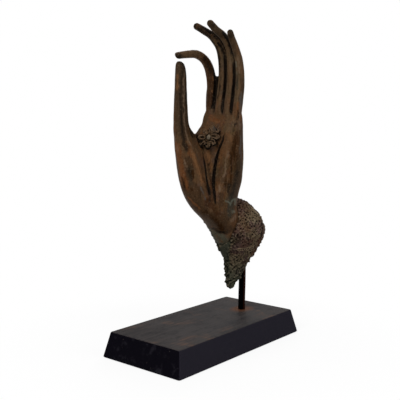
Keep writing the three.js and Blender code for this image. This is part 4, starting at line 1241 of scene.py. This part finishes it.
rosette_bud_lean = np.radians(65)
rosette_bud_height = 2.6
rosette_moat_half = (4.0, 2.2)
rosette_moat_width = 0.1732
rosette_moat_depth = 0.9
rosette_brim = (0.81, 0.88)
rosette_rim = [
    # scale and height of the rings from the edge down into the palm
    (1.0, -0.2), (0.97, -0.9), (0.86, -1.2), (0.8, -5.0),
]


def rosette_surface():
    """Height over the disc as a function of place: a dished ground, with the petals' raised edges and deep
    slots as bell curves beside their lines, and a long bud as half an ellipsoid in a moat. Returns x, height
    and z, how much of each point is edge, for painted highlight, and how much of it is slot or lower brim,
    for painted shade."""
    angle = np.linspace(0, 2 * np.pi, rosette_sides, endpoint=False)[None]
    share = np.linspace(0, 1, rosette_steps)[:, None]
    lobes = np.array(rosette_lobes, float)
    away = (np.degrees(angle)[..., None] - lobes[:, 0] + 180) % 360 - 180
    across = away / lobes[:, 2]
    nearest = np.abs(across).argmin(-1)
    across = np.take_along_axis(across, nearest[..., None], -1)[..., 0]
    reach = lobes[nearest, 1] * rosette_reach * (1 - 0.26 * np.clip(np.abs(across), 0, 1.4) ** 2.2)
    radius = share * reach
    x, z = radius * np.cos(angle), radius * np.sin(angle)
    flat = np.stack([x.ravel(), 0 * x.ravel(), z.ravel()], 1)

    def along(line, width, fade):
        """Strength of a stroke along a line of places across and up."""
        return stroke(flat, [(a, 0, b) for a, b in line], width, fade).reshape(x.shape)

    def from_bud(half):
        """Distance from the bud's middle, 1 on an ellipse with these half axes."""
        u, v = x - rosette_bud[0], z - rosette_bud[1]
        cos, sin = np.cos(rosette_bud_lean), np.sin(rosette_bud_lean)
        return np.hypot((u * cos + v * sin) / half[0], (v * cos - u * sin) / half[1])

    edges = np.max([along(line, petal_edge_half, 0.06) for line in rosette_edges], axis=0)
    slots = np.max([along(line, width, 0.08) for line, width in rosette_slots], axis=0)
    height = rosette_ground + 0.35 * lumps(flat, 3.0, 61).reshape(x.shape) + 0.5 * bell(radius, 6)
    height += petal_edge_height * edges - petal_slot_depth * slots * (1 - 0.6 * edges)
    height += rosette_bud_height * np.sqrt(np.clip(1 - from_bud(rosette_bud_half) ** 2, 0, 1))
    height -= rosette_moat_depth * bell(from_bud(rosette_moat_half) - 1.2, rosette_moat_width)
    # the lower brim, which takes painted shade with the slots
    brim = smooth_step(share + 0 * x, *rosette_brim) * smooth_step(0.35 * x - z, 3.5, 7.0)
    return x, np.maximum(height, 0.1), z, edges * (1 - brim), np.maximum(slots, brim)


def rosette_flower():
    """The flower's face, its turned-under rim and a narrower foot that sinks into the palm. The palm's tints
    are painted on it too: painted shade in the slots, along the lower brim, under the left petal and on what
    the rim hides, and painted highlights on the petals' edges, two spots and the bud."""
    x, height, z, edges, slots = rosette_surface()
    face = np.stack([x, height, z], -1)
    under = [face[-1] * (scale, 0, scale) + (0, depth, 0) for scale, depth in rosette_rim]
    rings = np.concatenate([face, np.stack(under)])
    points = rings @ np.stack([rosette_across, rosette_out, (0, 0, 1)]) + rosette_middle
    points, quads, fans = closed_skin(points)
    flower = new_object("rosette", in_place(points), quads, fans)
    mesh = flower.data
    local = from_foot(points_of(mesh))
    unseen = np.zeros(len(local) - edges.size)
    glint = on_rosette((0.1, 0.2))[0] + 2.6 * rosette_out
    bright = marked(local, [(on_rosette((-2.2, 3.4)), 1.2), (on_rosette((12, -1.4)), 1.4)])
    for name, values in {
        "hollow": 1.5 * hollowness(mesh, 6),
        "blue": 0.9 * marked(local, [(on_rosette((7, 9), (11, 7)), 3.2), (on_rosette((11, 0)), 1.6)]),
        # painted highlight: a spot over the bud, set out from it along the rosette's normal
        "lit": 1.4 * spot(local, glint, 2.8),
        "tan": np.ones(len(local)),
        # painted highlights on two spots and along the petals' raised edges
        "painted_highlight": bright + np.concatenate([edges.ravel(), unseen]),
        # painted shade under the left petal
        "dark": marked(local, [(on_rosette((-7, -4.6), (-10, -4)), 2.6), (on_rosette((-6.6, -7)), 1.4)]),
        # painted shade in the slots, along the lower brim and over the hidden rim and foot
        "painted_shade": 2.0 * np.concatenate([slots.ravel(), unseen + 1]),
    }.items():
        paint(mesh, name, values)
    return flower


flower = rosette_flower()
give(flower, patina)
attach(flower, "root")
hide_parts("palm_rosette")


# Studio: a white floor that keeps a faint shadow, four soft boxes and a white room.
floor_half = 12.0
floor_white = (0.9, 0.9, 0.9, 1)
shadow_kept = 0.14
shadow_near = 0.12
shadow_far = 0.27
room_light = 0.18
hand_middle = (0, 0, 0.2)


def shown_white(tree):
    """1 for rays from the camera, off a gloss or through glass, 0 for all others."""
    rays = tree.nodes.new("ShaderNodeLightPath").outputs
    shown = arithmetic(tree, "MAXIMUM", rays["Is Camera Ray"], rays["Is Glossy Ray"])
    return arithmetic(tree, "MAXIMUM", shown, rays["Is Transmission Ray"])


def white_floor():
    """White of its own, that lets a little of the object's shadow show close to it."""
    material, tree, shader = new_material("white_floor", 1.0, specular=0.0)
    shader.inputs["Base Color"].default_value = floor_white
    plain = tree.nodes.new("ShaderNodeEmission")
    plain.inputs["Strength"].default_value = 1.0
    blend = tree.nodes.new("ShaderNodeMixShader")
    away = ramp(tree, distance_from(tree, place_in(tree)), shadow_near, shadow_far, 1.0, 1 - shadow_kept)
    tree.links.new(product(tree, shown_white(tree), away), blend.inputs[0])
    tree.links.new(shader.outputs[0], blend.inputs[1])
    tree.links.new(plain.outputs[0], blend.inputs[2])
    tree.links.new(blend.outputs[0], tree.nodes["Material Output"].inputs["Surface"])
    return material


floor_points = np.array([[-1, -1, 0], [1, -1, 0], [1, 1, 0], [-1, 1, 0]], float) * floor_half
floor = new_object("floor", floor_points, np.array([[0, 1, 2, 3]]))
floor.data.materials.append(white_floor())

world = bpy.data.worlds.new("white_room")
world.use_nodes = True
bpy.context.scene.world = world
room = world.node_tree
sky = room.nodes["Background"].inputs
room.links.new(ramp(room, shown_white(room), 0, 1, 1.0, room_light), sky["Strength"])
sky["Color"].default_value = (1, 1, 1, 1)


def soft_box(name, place, width, height, power):
    """Rectangular lamp at place, pointed at the hand."""
    lamp = bpy.data.lights.new(name, "AREA")
    lamp.shape = "RECTANGLE"
    lamp.size = width
    lamp.size_y = height
    lamp.energy = power
    holder = bpy.data.objects.new(name, lamp)
    holder.location = place
    holder.rotation_euler = (Vector(hand_middle) - Vector(place)).to_track_quat("-Z", "Y").to_euler()
    bpy.context.scene.collection.objects.link(holder)


soft_box("front_box", (0.3, -1.3, 0.95), 0.8, 0.8, 17)
soft_box("right_box", (1.35, 0.2, 0.75), 0.6, 1.2, 7)
soft_box("top_box", (-0.1, -0.1, 1.6), 0.9, 0.9, 7)
soft_box("back_box", (-0.7, 1.3, 0.8), 1.0, 0.8, 9)

# The camera stands 40 degrees round to the right of the palm's front and looks down by 6 degrees.
camera_place = (0.4653, -0.56391, 0.2365)
camera_lens = 61.48
azimuth = np.radians(40.039)
elevation = np.radians(6.04)
camera_data = bpy.data.cameras.new("camera")
camera_data.sensor_width = 36
camera_data.lens = camera_lens
camera_data.clip_start = 0.01
camera = bpy.data.objects.new("camera", camera_data)
back = Vector((np.sin(azimuth) * np.cos(elevation), -np.cos(azimuth) * np.cos(elevation), np.sin(elevation)))
right = Vector((np.cos(azimuth), np.sin(azimuth), 0))
turn = Matrix((right, back.cross(right), back)).transposed()
camera.matrix_world = Matrix.Translation(camera_place) @ turn.to_4x4()
bpy.context.scene.collection.objects.link(camera)
bpy.context.scene.camera = camera
bpy.context.scene.view_settings.view_transform = "Standard"
